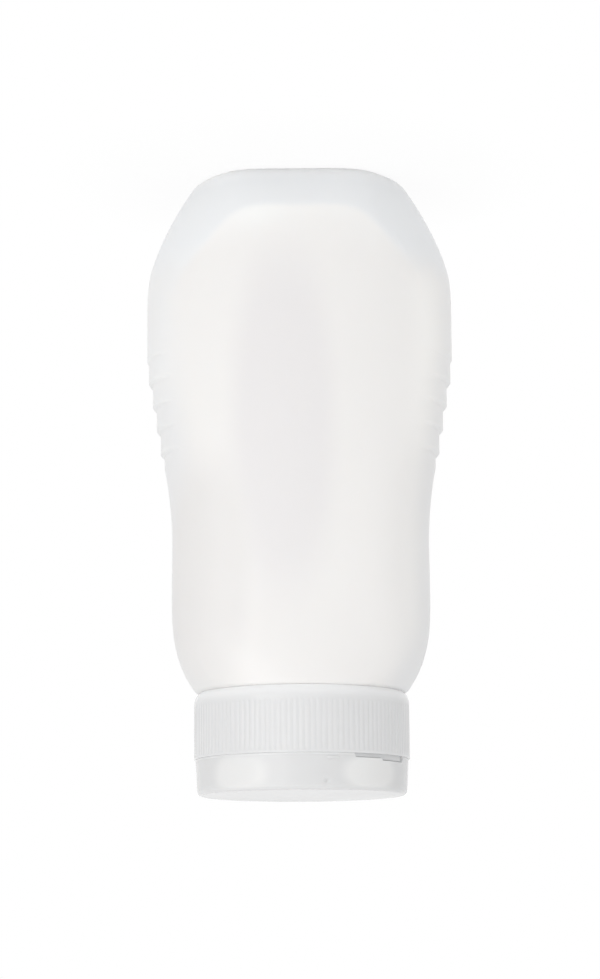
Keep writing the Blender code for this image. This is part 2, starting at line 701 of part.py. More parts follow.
def build_valve_retainer(parts, material):
    top = VALVE_TOP_Z - VALVE_FLANGE - GAP
    low = DECK_LOW_Z + GAP
    outer = SPOUT_BORE - GAP
    profile = [(RETAINER_BORE, top), (outer, top), (outer, low), (RETAINER_BORE, low)]
    turned("valve_retainer", profile, parts, material)


def build_seal_liner(parts, material):
    outer = SLEEVE_RADIUS - GAP
    bore = NECK_RADIUS - BODY_WALL - LINER_LAP
    profile = [(bore, LINER_TOP_Z), (outer, LINER_TOP_Z), (outer, LINER_LOW_Z), (bore, LINER_LOW_Z)]
    turned("seal_liner", profile, parts, material)


def main():
    clear_scene()
    parts = new_collection("squeeze_bottle")
    cutters = new_collection("cutters")
    milky = make_material("milky_plastic", MILKY, 0.38)
    cloudy = make_material("cloudy_plastic", CLOUDY, 0.32)
    silicone = make_material("silicone", SILICONE, 0.45)
    foam = make_material("foam", FOAM, 0.8)
    build_bottle_body(parts, cutters, milky)
    build_cap_base(parts, cutters, cloudy)
    build_flip_lid(parts, cutters, cloudy)
    build_hinge(parts, cloudy)
    build_slit_valve(parts, cutters, silicone)
    build_valve_retainer(parts, cloudy)
    build_seal_liner(parts, foam)


main()
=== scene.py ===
"""Looks of the squeeze bottle: fine shells, cap, lid, hinge and valve, their plastics, floor and light."""

import math

import bmesh
import bpy
from mathutils import Matrix, Vector


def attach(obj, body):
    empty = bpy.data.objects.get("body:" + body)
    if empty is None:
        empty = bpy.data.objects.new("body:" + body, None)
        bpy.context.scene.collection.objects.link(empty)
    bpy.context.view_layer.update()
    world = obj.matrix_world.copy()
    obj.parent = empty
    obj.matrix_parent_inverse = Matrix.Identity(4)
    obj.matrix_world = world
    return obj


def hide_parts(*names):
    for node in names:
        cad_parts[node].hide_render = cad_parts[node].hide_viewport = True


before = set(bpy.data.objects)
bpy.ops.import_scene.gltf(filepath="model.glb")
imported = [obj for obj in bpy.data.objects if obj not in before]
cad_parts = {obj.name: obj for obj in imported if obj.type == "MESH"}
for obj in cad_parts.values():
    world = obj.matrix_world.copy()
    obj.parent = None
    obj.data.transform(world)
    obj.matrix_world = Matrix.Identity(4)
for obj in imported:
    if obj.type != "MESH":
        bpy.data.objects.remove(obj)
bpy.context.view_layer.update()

# Sizes shared with the construction, in metres
GAP = 0.0003
BODY_WIDTH = 0.0840
BODY_DEPTH = 0.0520
PANEL_CUT = 0.0020
OVAL_POWER = 2.2
PANEL_REACH = 0.0460
PANEL_CLOSES_AT = 0.1180
CREASE_SOFTNESS = 0.0012
BODY_WALL = 0.0012
HEEL_HEIGHT = 0.040
SHOULDER_HEIGHT = 0.1434
BASE_WIDTH = 0.0556
BASE_DEPTH = 0.0310
BASE_EDGE_RADIUS = 0.0025
STANDING_RING_WIDTH = 0.0035
PUSH_UP = 0.0022
PUSH_UP_SLOPE = 0.45
HEEL_FLARE = 0.0080
HEEL_WIDE_CURVE = 1.87
HEEL_DEEP_CURVE = 1.95
HEEL_FRONT_POWER = 2.5
HEEL_FRONT_SPREAD = 0.0060
HEEL_CORNER_POWER = 1.95
HEEL_CORNER_CHAMFER = 0.50
HEEL_CORNER_FLARE = 0.0050
HEEL_CORNER_CURVE = 3.5
BASE_CORNER_FLARE = 0.0085
HEEL_CORNER_SOFTNESS = 0.0030
WAIST_HALF = 0.0350
WAIST_AT = 0.1025
BULGE_HALF = 0.0351
BULGE_AT = 0.1160
SHOULDER_INSET = 0.0009
SHOULDER_POWER = 3.0
SHOULDER_EDGE = 0.0012
SHOULDER_LAND = 0.0060
GRIP_END_STEP = 0.0021
STEP_COUNT = 5
STEP_PITCH = 0.00655
FIRST_STEP_AT = 0.0517
FIRST_STEP_DEPTH = 0.0005
STEP_RISE = 0.0013
GRIP_INNER = 0.88
GRIP_OUTER = 0.975
NECK_RADIUS = 0.0174
NECK_HEIGHT = 0.0104
NECK_ROOT_RADIUS = 0.0020
THREAD_LEAD = 0.00423
THREAD_TURNS = 1.1
THREAD_BEAD = 0.0011
THREAD_DROP = 0.0048
THREAD_BITE = 0.00015
CAP_RADIUS = 0.0290
CAP_WALL = 0.0014
RIM_RADIUS = 0.0042
RIM_ROLL = math.radians(45)
EDGE_BREAK = 0.0003
SKIRT_HEIGHT = 0.0172
DECK_THICKNESS = 0.0017
DECK_DROP = 0.0021
RIB_COUNT = 120
RIB_DEPTH = 0.00011
RIB_LOW_INSET = 0.0030
RIB_HIGH_INSET = 0.0006
SLEEVE_WALL = 0.0018
SLEEVE_LENGTH = 0.0090
LINER_THICKNESS = 0.0009
LINER_LAP = 0.0040
CLOSING_WALL = 0.0007
CLOSING_WALL_RISE = 0.0020
SPOUT_BORE = 0.0080
SPOUT_WALL = 0.0015
SPOUT_HEIGHT = 0.0060
SPOUT_LIP = 0.0018
SPOUT_LIP_THICKNESS = 0.0012
VALVE_FLANGE = 0.0015
VALVE_HEAD_RADIUS = 0.0056
VALVE_HEAD_RISE = 0.0022
VALVE_SKIN = 0.0009
VALVE_SLIT = 0.0060
VALVE_DISH = 0.0003
VALVE_FLOOR_RISE = 0.0003
SLIT_WIDTH = 0.00012
RETAINER_BORE = 0.0056
LID_HEIGHT = 0.0093
LID_TAPER = 0.00045
LID_SHOULDER = 0.0004
LID_WALL = 0.0013
LID_END = 0.0012
LID_EDGE_RADIUS = 0.0012
SEAL_RING_WALL = 0.0010
SEAL_RING_LENGTH = 0.0062
STUD_RADIUS = 0.0026
THUMB_AZIMUTH = math.radians(221)
THUMB_SPAN = math.radians(41)
THUMB_DEPTH = 0.0010
THUMB_STEP_SPAN = math.radians(22.5)
THUMB_STEP_DEPTH = 0.0005
HINGE_AZIMUTH = THUMB_AZIMUTH - math.pi
HINGE_REACH = 0.0105
STRAP_THICKNESS = 0.0009
STRAP_WIDTH = 0.0070
BAND_WIDTH = 0.0034
BAND_SPACING = 0.0010
FILM_INSET = 0.0013
HINGE_BLOCK = 0.0018

# Heights that follow from the sizes above
RIM_Z = SHOULDER_HEIGHT + GAP
SPLIT_Z = RIM_Z + SKIRT_HEIGHT
LID_LOW_Z = SPLIT_Z + GAP
LID_TOP_Z = LID_LOW_Z + LID_HEIGHT
DECK_TOP_Z = SPLIT_Z - DECK_DROP
DECK_LOW_Z = DECK_TOP_Z - DECK_THICKNESS
LINER_TOP_Z = DECK_LOW_Z - GAP
LINER_LOW_Z = LINER_TOP_Z - LINER_THICKNESS
MOUTH_Z = LINER_LOW_Z - GAP
NECK_ROOT_Z = MOUTH_Z - NECK_HEIGHT
SLEEVE_LOW_Z = DECK_LOW_Z - SLEEVE_LENGTH
THREAD_MID_Z = MOUTH_Z - THREAD_DROP
SLEEVE_RADIUS = NECK_RADIUS + THREAD_BEAD + GAP
SPOUT_TOP_Z = DECK_TOP_Z + SPOUT_HEIGHT
VALVE_TOP_Z = SPOUT_TOP_Z - SPOUT_LIP_THICKNESS - GAP
VALVE_RIM_Z = VALVE_TOP_Z + VALVE_HEAD_RISE
HINGE_OUTSET = CAP_RADIUS - FILM_INSET
HINGE_LOW_Z = (SPLIT_Z + LID_LOW_Z - HINGE_REACH) / 2
HINGE_HIGH_Z = HINGE_LOW_Z + HINGE_REACH
POCKET_INNER = HINGE_OUTSET - STRAP_THICKNESS - GAP
POCKET_HALF = STRAP_WIDTH / 2 + BAND_SPACING + BAND_WIDTH + GAP

# Fineness of the meshes
MERGE_DISTANCE = 0.000002
NEAR = 0.00002               # rows this far on each side of a height where a shape jumps
BODY_COLUMNS = 192
RIB_COLUMNS = 8              # columns of faces for each rib of the skirt
LID_COLUMNS = 720
ROUND_COLUMNS = 160
NOTCH_COLUMNS = 120
THREAD_COLUMNS = 120
THREAD_SIDES = 12
EDGE_ROWS = 8                # rows round the base's edge and round the shoulder's
RECESS_ROWS = 14
HEEL_SPACING = 0.0006        # distances between the body's rows
SIDE_SPACING = 0.0010
WAIST_SPACING = 0.0012
SHOULDER_SPACING = 0.0007
SHOULDER_BAND = 0.0200       # height of the closely spaced rows under the shoulder

# Mould seam of the body
SEAM_OFFSETS = (-0.016, -0.008, 0.0, 0.008, 0.016)
SEAM_CLEAR = 0.02            # even columns nearer to the seam than this give way to its own
SEAM_HEIGHT = 0.00010
SEAM_WIDTH = 0.009

# Details that only show close up
RECESS_HUB = 0.02            # the flat middle of the base's recess, as a share of its outline
THREAD_END_SHARE = 0.05      # the thread's size at its very ends
THREAD_TAPER = 0.09          # share of its length over which it grows to full size
GROOVE_HALF = 0.34           # half width of a groove, as a share of the ribs' spacing
GROOVE_START = 0.0008        # height over which the grooves deepen above the rim
GROOVE_STOP = 0.0003         # and run out below the split
RIM_OVERLAP = 0.00025        # the rim's lip comes down this far over the shoulder's rounded edge
LIP_THICKNESS = 0.00067      # the rim's thinned lip
LIP_RISE = 0.00008           # the lip's inner edge stands this far above the shoulder
THIN_JOINT = 0.00002         # what shows as a gap at the split
JOINT_BREAK = 0.00005        # the broken edges on both sides of the split
DECK_RIM_SHARE = 0.7         # the deck ends this share of the skirt's wall in from its outside
NOTCH_RECESS = 0.0005        # the cap's ledge in the thumb notch, behind the lid's face
NOTCH_FADE = 0.004           # height over which the lid's wall takes up the notch
DIMPLE_AZIMUTH = math.radians(256.8)    # a gate mark: a small dimple in the lid's side
DIMPLE_RISE = 0.0072
DIMPLE_RADIUS = 0.0007
DIMPLE_DEPTH = 0.00040
TAB_AZIMUTH = math.radians(253.6)       # a short raised bar near the lid's foot
TAB_RISE = 0.0010
TAB_HALF_WIDTH = 0.0016
TAB_HALF_HEIGHT = 0.00035
TAB_HEIGHT = 0.00022
TAB_END_SOFTNESS = 0.00015
TAB_EDGE_SOFTNESS = 0.0001
STRAP_ROUNDING = 0.00012

# Zones of tone on the body and the cap, each laid over those before it; a pair is the two ends of a fade.
# Most are painted light and shade, as said at each.
ZONES = ("waist", "panel", "lens", "painted_flank_shade", "painted_light_band", "crease", "painted_highlight", "heel", "base")
CAP_ZONES = ("lid", "rim", "painted_reflection", "edge")
# painted shade: the body is a little darker from the waist up
WAIST_SHADE_FADE = (0.050, 0.078)
PANEL_EDGE = 0.0006          # the panel's tone fades over this distance on each side of the crease
PANEL_SIDES = (0.70, 0.92)   # and between these shares of the half width
SHADE_LENS_MIDDLE = 0.0725         # painted shade: the long darker field down the middle of the panel; its middle height
SHADE_LENS_HALF_HEIGHT = 0.0450
SHADE_LENS_HALF_WIDTH = 0.0132
SHADE_LENS_SHIFT = 0.0046
FLANK_SHADE_MIDDLE = 0.1130        # painted shade: a duller field beside the waist and the shoulder
FLANK_SHADE_SHIFT = 0.0250
FLANK_SHADE_HALF_WIDTH = 0.0110
FLANK_SHADE_HALF_HEIGHT = 0.0300
FIELD_POWER = 2.4            # roundness of these fields
FIELD_FADE = 0.30            # share of a field's size over which it fades, on each side of its edge
LIGHT_BAND_AT = -0.84            # painted light: a paler band down one side of the body; its place, as a share of the half width
LIGHT_BAND_SPREAD = 0.110
LIGHT_BAND_START = (0.018, 0.036)
LIGHT_BAND_THINS = (0.068, 0.085)
LIGHT_BAND_END = (0.125, 0.140)
LIGHT_BAND_WAIST_SHARE = 0.60    # how much of it is left at the waist and the shoulder
HIGHLIGHT_SHIFT = 0.0135          # painted highlight: a small pale field on the panel, close to the heel's crease
HIGHLIGHT_HEIGHT = 0.0125
HIGHLIGHT_WIDTH = 0.0088
HIGHLIGHT_SPREAD = 0.0058
CREASE_HIGHLIGHT_REACH = 0.0022         # painted highlight: the panel is paler within about this distance of the heel's crease
CREASE_HIGHLIGHT_END = (0.016, 0.030)
# painted shade: the heel, which faces the floor, has a cooler tone
HEEL_SHADE_EDGE = (-0.0004, 0.0008)
HEEL_SHADE_END = (0.021, 0.033)
BASE_PAINTED_LIGHT = 0.0060           # painted light: the heel is paler within this height of the base, against the shade where it meets the floor
RIM_PAINTED_LIGHT = 0.0034            # painted light: height over which the rolled rim is paler than the skirt
EDGE_LIGHT_REACH = 0.0007           # painted light: edges by the joints are paler within this distance, against the shade in the joints
EDGE_PAINTED_LIGHT = 0.95
PAINTED_REFLECTIONS = (                  # painted reflections of the lamps: azimuth, half width, half height and strength of the lid's paler patches
    (math.radians(306.0), 0.0083, 0.0048, 0.80),
    (math.radians(229.5), 0.0086, 0.0042, 1.15),
)
REFLECTION_RISE = 0.0046          # height of the patches' middles above the lid's foot

# Surface of the plastics: noise scales per metre, bump heights in metres
CLOUD_SCALE = 45.0
WAVE_SCALE = 90.0
PEEL_SCALE = 420.0
GRAIN_SCALE = 900.0
WAVE_HEIGHT = 0.0004
PEEL_HEIGHT = 0.00006
GRAIN_HEIGHT = 0.00002
POLISHED = 0.03              # how much smoother than its mean roughness a plastic is in places
RUBBED = 0.04                # and how much rougher

# Studio
WHITE = (1.0, 1.0, 1.0, 1.0)
ROOM_LEVEL = 0.715
FLOOR_RADIUS = 2.6
FLOOR_DROP = 0.00005         # the floor lies this far below the base
FLOOR_WHITE = 0.95
SHADOW_REACH = (0.035, 0.075)    # the shadow seen on the floor ends between these distances from the axis
SHADOW_SEEN = 0.93           # share of plain white in the floor close to the bottle

# Camera: where the photo was taken from, as a real distance and height
CAMERA_DISTANCE = 0.750
CAMERA_OFFSET = 0.0001
CAMERA_HEIGHT = 0.2164
CAMERA_PITCH = math.radians(9.787)
CAMERA_LENS = 102.3
CAMERA_SENSOR = 36.0
PHOTO_TURN = math.radians(179.65)    # the picture is turned upside down, and leans a little
LIGHTS_AIM = Vector((0.0, 0.0, 0.085))


# Meshes

def smooth_step(low, high, value):
    """0 up to low, 1 from high on, and a smooth rise between them."""
    share = min(1.0, max(0.0, (value - low) / (high - low)))
    return share * share * (3.0 - 2.0 * share)


def soft_min(a, b, softness):
    """The smaller of two lengths, rounded off where they are about equal."""
    blend = max(softness - abs(a - b), 0.0) / softness
    return min(a, b) - blend * blend * softness * 0.25


def oval_radius(angle, half_x, half_y, power):
    """Distance from the axis to an oval; a power of 2 is an ellipse, and more is squarer."""
    along = abs(math.cos(angle) / half_x) ** power
    across = abs(math.sin(angle) / half_y) ** power
    return (along + across) ** (-1.0 / power)


def arc(centre_radius, centre_z, radius, start, end, count):
    """Points of an arc in the profile plane; angles in degrees from +radius towards +Z."""
    points = []
    for index in range(count + 1):
        angle = math.radians(start + (end - start) * index / count)
        points.append((centre_radius + radius * math.cos(angle), centre_z + radius * math.sin(angle)))
    return points


def corner(radius, z, size, start, end, count=3):
    """A rounded corner of a profile, given the point where its two sides would meet."""
    middle = math.radians((start + end) / 2)
    centre_radius = radius - math.copysign(size, math.cos(middle))
    centre_z = z - math.copysign(size, math.sin(middle))
    return arc(centre_radius, centre_z, size, start, end, count)


def divide(points, spacing):
    """The same open outline with its long straight runs divided."""
    result = [points[0]]
    for (r0, z0), (r1, z1) in zip(points, points[1:]):
        pieces = max(1, math.ceil(math.hypot(r1 - r0, z1 - z0) / spacing))
        for index in range(1, pieces + 1):
            share = index / pieces
            result.append((r0 + (r1 - r0) * share, z0 + (z1 - z0) * share))
    return result


def wrap(angle):
    """The same angle between minus and plus half a turn."""
    return (angle + math.pi) % (2.0 * math.pi) - math.pi


def around(radius, azimuth, z):
    """The point at a radius, azimuth and height."""
    return radius * math.cos(azimuth), radius * math.sin(azimuth), z


def add_object(name, data):
    """A new object in the scene, for a mesh, a lamp or a camera."""
    obj = bpy.data.objects.new(name, data)
    bpy.context.scene.collection.objects.link(obj)
    return obj


def mesh_of(name, bm):
    """The finished mesh of an edited one."""
    mesh = bpy.data.meshes.new(name)
    bm.to_mesh(mesh)
    bm.free()
    return mesh


def link(name, mesh, smooth_angle=40.0):
    """A new object for a mesh, smooth but for its edges sharper than an angle in degrees."""
    mesh.shade_smooth()
    mesh.set_sharp_from_angle(angle=math.radians(smooth_angle))
    return add_object(name, mesh)


def skin(name, rings, smooth_angle=40.0, close_profile=False, close_start=False, close_end=False):
    """A skin of quads through closed rings of equal count; its ends may be joined or capped."""
    count = len(rings[0])
    verts = [tuple(point) for ring in rings for point in ring]
    faces = []
    pairs = list(zip(range(len(rings)), range(1, len(rings))))
    if close_profile:
        pairs.append((len(rings) - 1, 0))
    for lower, upper in pairs:
        low = lower * count
        high = upper * count
        for index in range(count):
            after = (index + 1) % count
            faces.append((low + index, low + after, high + after, high + index))
    if close_start:
        faces.append(tuple(reversed(range(count))))
    if close_end:
        faces.append(tuple(range(len(verts) - count, len(verts))))
    mesh = bpy.data.meshes.new(name)
    mesh.from_pydata(verts, [], faces)
    bm = bmesh.new()
    bm.from_mesh(mesh)
    bmesh.ops.remove_doubles(bm, verts=bm.verts, dist=MERGE_DISTANCE)
    bmesh.ops.recalc_face_normals(bm, faces=bm.faces)
    bm.to_mesh(mesh)
    bm.free()
    return link(name, mesh, smooth_angle)


def turned(name, profile, columns=ROUND_COLUMNS, shape=None, smooth_angle=40.0, closed=True):
    """A turned solid. shape(azimuth, radius, z) may move a point of the profile.

    A profile that starts and ends on the axis isn't closed.
    """
    rings = []
    for radius, z in profile:
        ring = []
        for index in range(columns):
            azimuth = 2.0 * math.pi * index / columns
            r, height = shape(azimuth, radius, z) if shape else (radius, z)
            ring.append(around(r, azimuth, height))
        rings.append(ring)
    return skin(name, rings, smooth_angle, close_profile=closed)


def helix_bead(name, radius, middle_z, phase):
    """A thread's round bead, thinning out at both ends."""
    rings = []
    for index in range(THREAD_COLUMNS + 1):
        share = index / THREAD_COLUMNS
        angle = 2.0 * math.pi * THREAD_TURNS * share + phase
        z = middle_z + (share - 0.5) * THREAD_TURNS * THREAD_LEAD
        grown = smooth_step(0.0, THREAD_TAPER, min(share, 1.0 - share))
        size = THREAD_BEAD * (THREAD_END_SHARE + (1.0 - THREAD_END_SHARE) * grown)
        outward = Vector((math.cos(angle), math.sin(angle), 0.0))
        ring = []
        for side in range(THREAD_SIDES):
            turn = 2.0 * math.pi * side / THREAD_SIDES
            offset = outward * (radius + size * math.cos(turn))
            ring.append(offset + Vector((0.0, 0.0, z + size * math.sin(turn))))
        rings.append(ring)
    return skin(name, rings, smooth_angle=60.0)


# Body shell

def grip_steps(z, taper):
    """How far the grips' steps have narrowed the body at a height, on each side."""
    depth = 0.0
    for index in range(STEP_COUNT):
        middle = FIRST_STEP_AT + index * STEP_PITCH
        step = FIRST_STEP_DEPTH if index == 0 else (taper - FIRST_STEP_DEPTH) / (STEP_COUNT - 1)
        depth += step * smooth_step(middle - STEP_RISE / 2, middle + STEP_RISE / 2, z)
    return depth


def grip_slope(z, taper):
    """The same narrowing without its steps, as at the front and back."""
    low = FIRST_STEP_AT - STEP_PITCH / 2
    return taper * min(1.0, max(0.0, (z - low) / (STEP_COUNT * STEP_PITCH)))


def body_half_width(z, stepped):
    """Half the body's width at a height, with the grips' steps or with a plain slope."""
    full = BODY_WIDTH / 2
    grip_end = FIRST_STEP_AT + (STEP_COUNT - 0.5) * STEP_PITCH
    last_grip = WAIST_HALF + GRIP_END_STEP
    if z <= grip_end:
        narrowing = grip_steps if stepped else grip_slope
        return full - narrowing(z, full - last_grip)
    if z <= WAIST_AT:
        share = (z - grip_end) / (WAIST_AT - grip_end)
        return WAIST_HALF + GRIP_END_STEP * (1.0 - share) ** 2
    if z <= BULGE_AT:
        return WAIST_HALF + (BULGE_HALF - WAIST_HALF) * smooth_step(WAIST_AT, BULGE_AT, z)
    share = (z - BULGE_AT) / (SHOULDER_HEIGHT - BULGE_AT)
    end = CAP_RADIUS - SHOULDER_INSET
    return end + (BULGE_HALF - end) * (1.0 - share ** SHOULDER_POWER)


def heel_radius(angle, z):
    """Distance of the heel's facets from the axis."""
    left = 1.0 - z / HEEL_HEIGHT
    widest = BODY_WIDTH / 2 + CREASE_SOFTNESS
    half_x = widest - (widest - BASE_WIDTH / 2) * left ** HEEL_WIDE_CURVE
    deepest = BODY_DEPTH / 2 + HEEL_FLARE
    front_y = deepest - (deepest - BASE_DEPTH / 2) * left ** HEEL_DEEP_CURVE
    front = oval_radius(angle, half_x + HEEL_FRONT_SPREAD, front_y, HEEL_FRONT_POWER)
    top_y = BODY_DEPTH / 2 + HEEL_CORNER_FLARE
    base_y = BASE_DEPTH / 2 + BASE_CORNER_FLARE
    corner_y = top_y - (top_y - base_y) * left ** HEEL_CORNER_CURVE
    corner = oval_radius(angle, half_x, corner_y, HEEL_CORNER_POWER - HEEL_CORNER_CHAMFER * left)
    return soft_min(front, corner, HEEL_CORNER_SOFTNESS)


def body_surfaces(angle, z):
    """Distances of the side, the panel and the heel from the axis."""
    stepped = body_half_width(z, True)
    plain = body_half_width(z, False)
    on_side = smooth_step(GRIP_INNER, GRIP_OUTER, abs(math.cos(angle)))
    half_x = plain + (stepped - plain) * on_side
    closing = smooth_step(PANEL_CLOSES_AT, SHOULDER_HEIGHT, z)
    half_y = BODY_DEPTH / 2 + (CAP_RADIUS - SHOULDER_INSET - BODY_DEPTH / 2) * closing
    oval = oval_radius(angle, half_x, half_y + PANEL_CUT, OVAL_POWER)
    reach = PANEL_REACH + (plain + CREASE_SOFTNESS - PANEL_REACH) * closing
    panel = oval_radius(angle, reach, half_y, 2.0)
    heel = heel_radius(angle, z) if z < HEEL_HEIGHT else 1.0
    return oval, panel, heel


def body_radius(angle, z):
    """Distance of the body's surface from the axis."""
    oval, panel, heel = body_surfaces(angle, z)
    radius = soft_min(soft_min(oval, panel, CREASE_SOFTNESS), heel, CREASE_SOFTNESS)
    return min(radius, body_half_width(z, False)) if z > BULGE_AT else radius


def column_turns():
    """The turns of the body's columns, with a few more along the mould seam on each side."""
    turns = [2.0 * math.pi * index / BODY_COLUMNS for index in range(BODY_COLUMNS)]
    turns = [turn for turn in turns if abs(math.sin(turn)) > SEAM_CLEAR]
    for side in (0.0, math.pi):
        turns += [(side + offset) % (2.0 * math.pi) for offset in SEAM_OFFSETS]
    return sorted(turns)


def body_ring(turns, z, inset=0.0, seam=1.0):
    """A ring round the body. The seam's crest lies in the body's surface, and the rest just inside it."""
    ring = []
    for turn in turns:
        angle = math.atan2(BODY_DEPTH * math.sin(turn), BODY_WIDTH * math.cos(turn))
        from_seam = abs(math.sin(turn)) / SEAM_WIDTH
        ridge = SEAM_HEIGHT * seam * math.exp(-from_seam * from_seam)
        radius = body_radius(angle, z) - inset - SEAM_HEIGHT * seam + ridge
        ring.append(around(radius, angle, z))
    return ring


def stations():
    """Heights of the body's rings from the base edge to the shoulder's edge."""
    low = BASE_EDGE_RADIUS
    high = SHOULDER_HEIGHT - SHOULDER_EDGE
    heights = set()
    grip_low = FIRST_STEP_AT - STEP_RISE
    grip_high = FIRST_STEP_AT + (STEP_COUNT - 1) * STEP_PITCH + STEP_RISE
    band_low = SHOULDER_HEIGHT - SHOULDER_BAND
    for start, end, spacing in (
        (low, HEEL_HEIGHT, HEEL_SPACING),
        (HEEL_HEIGHT, grip_low, SIDE_SPACING),
        (grip_high, band_low, WAIST_SPACING),
        (band_low, high, SHOULDER_SPACING),
    ):
        count = math.ceil((end - start) / spacing)
        heights.update(start + (end - start) * index / count for index in range(1, count + 1))
    for index in range(STEP_COUNT):
        middle = FIRST_STEP_AT + index * STEP_PITCH
        heights.update(middle + STEP_RISE * (share / 8 - 0.5) for share in range(9))
        heights.update(middle + STEP_RISE / 2 + (STEP_PITCH - STEP_RISE) * share / 4 for share in range(4))
    return sorted(heights)


def make_body():
    """The body's shell with its recessed base, facetted heel, grips, shoulder and neck."""
    turns = column_turns()
    inner = body_ring(turns, 0.0, BASE_EDGE_RADIUS + STANDING_RING_WIDTH, 0.0)

    def recess_ring(share, z):
        return [(x * share, y * share, z) for x, y, _ in inner]

    rings = [recess_ring(RECESS_HUB, PUSH_UP)]
    for index in range(RECESS_ROWS):
        share = 1.0 - index / RECESS_ROWS
        rings.append(recess_ring(1.0 - PUSH_UP_SLOPE * share, PUSH_UP * smooth_step(0.0, 1.0, share)))
    rings.append(inner)
    for index in range(EDGE_ROWS + 1):
        turn = math.radians(90.0 * index / EDGE_ROWS)
        z = BASE_EDGE_RADIUS * (1.0 - math.cos(turn))
        rings.append(body_ring(turns, z, BASE_EDGE_RADIUS * (1.0 - math.sin(turn))))
    rings += [body_ring(turns, z) for z in stations()]
    for index in range(1, EDGE_ROWS + 1):
        turn = math.radians(90.0 * index / EDGE_ROWS)
        z = SHOULDER_HEIGHT - SHOULDER_EDGE * (1.0 - math.sin(turn))
        rings.append(body_ring(turns, z, SHOULDER_EDGE * (1.0 - math.cos(turn))))
    root = NECK_RADIUS + NECK_ROOT_RADIUS
    fillet = arc(root, NECK_ROOT_Z + NECK_ROOT_RADIUS, NECK_ROOT_RADIUS, 270, 180, 6)
    neck = [(CAP_RADIUS - SHOULDER_LAND, SHOULDER_HEIGHT)] + fillet
    neck += corner(NECK_RADIUS, MOUTH_Z, EDGE_BREAK, 0, 90)
    for radius, z in divide(neck, spacing=0.0015):
        rings.append([around(radius, turn, z) for turn in turns])
    body = skin("bottle_shell", rings, smooth_angle=60.0, close_start=True)
    paint_zones(body)
    wall = body.modifiers.new("Wall", "SOLIDIFY")
    wall.thickness = BODY_WALL
    wall.offset = -1.0
    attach(body, "bottle")
    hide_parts("bottle_body")
    return body


def field(x, z, half_width, half_height):
    """A soft rounded field around its middle, 1 inside and 0 outside."""
    along = abs(x / half_width) ** FIELD_POWER
    upward = abs(z / half_height) ** FIELD_POWER
    reach = (along + upward) ** (1.0 / FIELD_POWER)
    return 1.0 - smooth_step(1.0 - FIELD_FADE, 1.0 + FIELD_FADE, reach)


def zone_shares(x, y, z):
    """How far a point of the shell lies in each of its zones of tone."""
    height = min(max(z, 0.0), SHOULDER_HEIGHT)
    oval, panel, heel = body_surfaces(math.atan2(y, x), height)
    sides = min(oval, panel)
    on_panel = smooth_step(-PANEL_EDGE, PANEL_EDGE, heel - sides)
    crease_highlight = math.exp(-max(0.0, heel - sides) / CREASE_HIGHLIGHT_REACH)
    across = x / body_half_width(height, False)
    painted_light_band = math.exp(-((across - LIGHT_BAND_AT) / LIGHT_BAND_SPREAD) ** 2)
    painted_light_band *= smooth_step(*LIGHT_BAND_START, z) * (1.0 - smooth_step(*LIGHT_BAND_END, z))
    # all shares but the panel's are painted shade or painted light
    return {
        "waist": smooth_step(*WAIST_SHADE_FADE, z),
        "panel": on_panel * (1.0 - smooth_step(*PANEL_SIDES, abs(across))),
        "lens": field(x - SHADE_LENS_SHIFT, z - SHADE_LENS_MIDDLE, SHADE_LENS_HALF_WIDTH, SHADE_LENS_HALF_HEIGHT),
        "painted_flank_shade": field(x - FLANK_SHADE_SHIFT, z - FLANK_SHADE_MIDDLE, FLANK_SHADE_HALF_WIDTH, FLANK_SHADE_HALF_HEIGHT),
        "painted_light_band": painted_light_band * (1.0 - (1.0 - LIGHT_BAND_WAIST_SHARE) * smooth_step(*LIGHT_BAND_THINS, z)),
        "crease": crease_highlight * (1.0 - smooth_step(*CREASE_HIGHLIGHT_END, height)),
        "painted_highlight": math.exp(-((x - HIGHLIGHT_SHIFT) / HIGHLIGHT_WIDTH) ** 2 - ((z - HIGHLIGHT_HEIGHT) / HIGHLIGHT_SPREAD) ** 2),
        "heel": smooth_step(*HEEL_SHADE_EDGE, sides - heel) * (1.0 - smooth_step(*HEEL_SHADE_END, z)),
        "base": 1.0 - smooth_step(0.0, BASE_PAINTED_LIGHT, z),
    }


def paint_zones(body):
    """Marks the zones of the shell for its tones: most are painted light and shade, and the panel's warmer
    tone is the bottle's own.
    """
    shares = [zone_shares(*vertex.co) for vertex in body.data.vertices]
    for zone in ZONES:
        store(body, zone, [share[zone] for share in shares])


def store(obj, zone, shares):
    """Keeps a zone's share at each vertex as a named attribute, which the material reads."""
    obj.data.attributes.new(zone, "FLOAT", "POINT")
    obj.data.attributes[zone].data.foreach_set("value", shares)


def painted_edge_light(distance):
    """Painted light: edges by the joints are paler over a short distance from them, against the shade in
    the joints.
    """
    return EDGE_PAINTED_LIGHT * (1.0 - smooth_step(0.0, EDGE_LIGHT_REACH, distance))


def make_neck_thread():
    """The thread outside the neck."""
    bead = helix_bead("neck_thread", NECK_RADIUS, THREAD_MID_Z, 0.0)
    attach(bead, "bottle")
    return bead


# Cap base

def pocket_radius(azimuth):
    """Distance of the hinge pocket's flat floor from the axis, or None away from the pocket."""
    off = wrap(azimuth - HINGE_AZIMUTH)
    if abs(off) > math.pi / 3:
        return None
    if abs(POCKET_INNER * math.tan(off)) > POCKET_HALF:
        return None
    return POCKET_INNER / math.cos(off)


def in_block(azimuth):
    """Whether an azimuth lies within the thickened wall behind the hinge pocket."""
    off = wrap(azimuth - HINGE_AZIMUTH)
    return abs(off) < math.atan2(POCKET_HALF + CAP_WALL, POCKET_INNER)


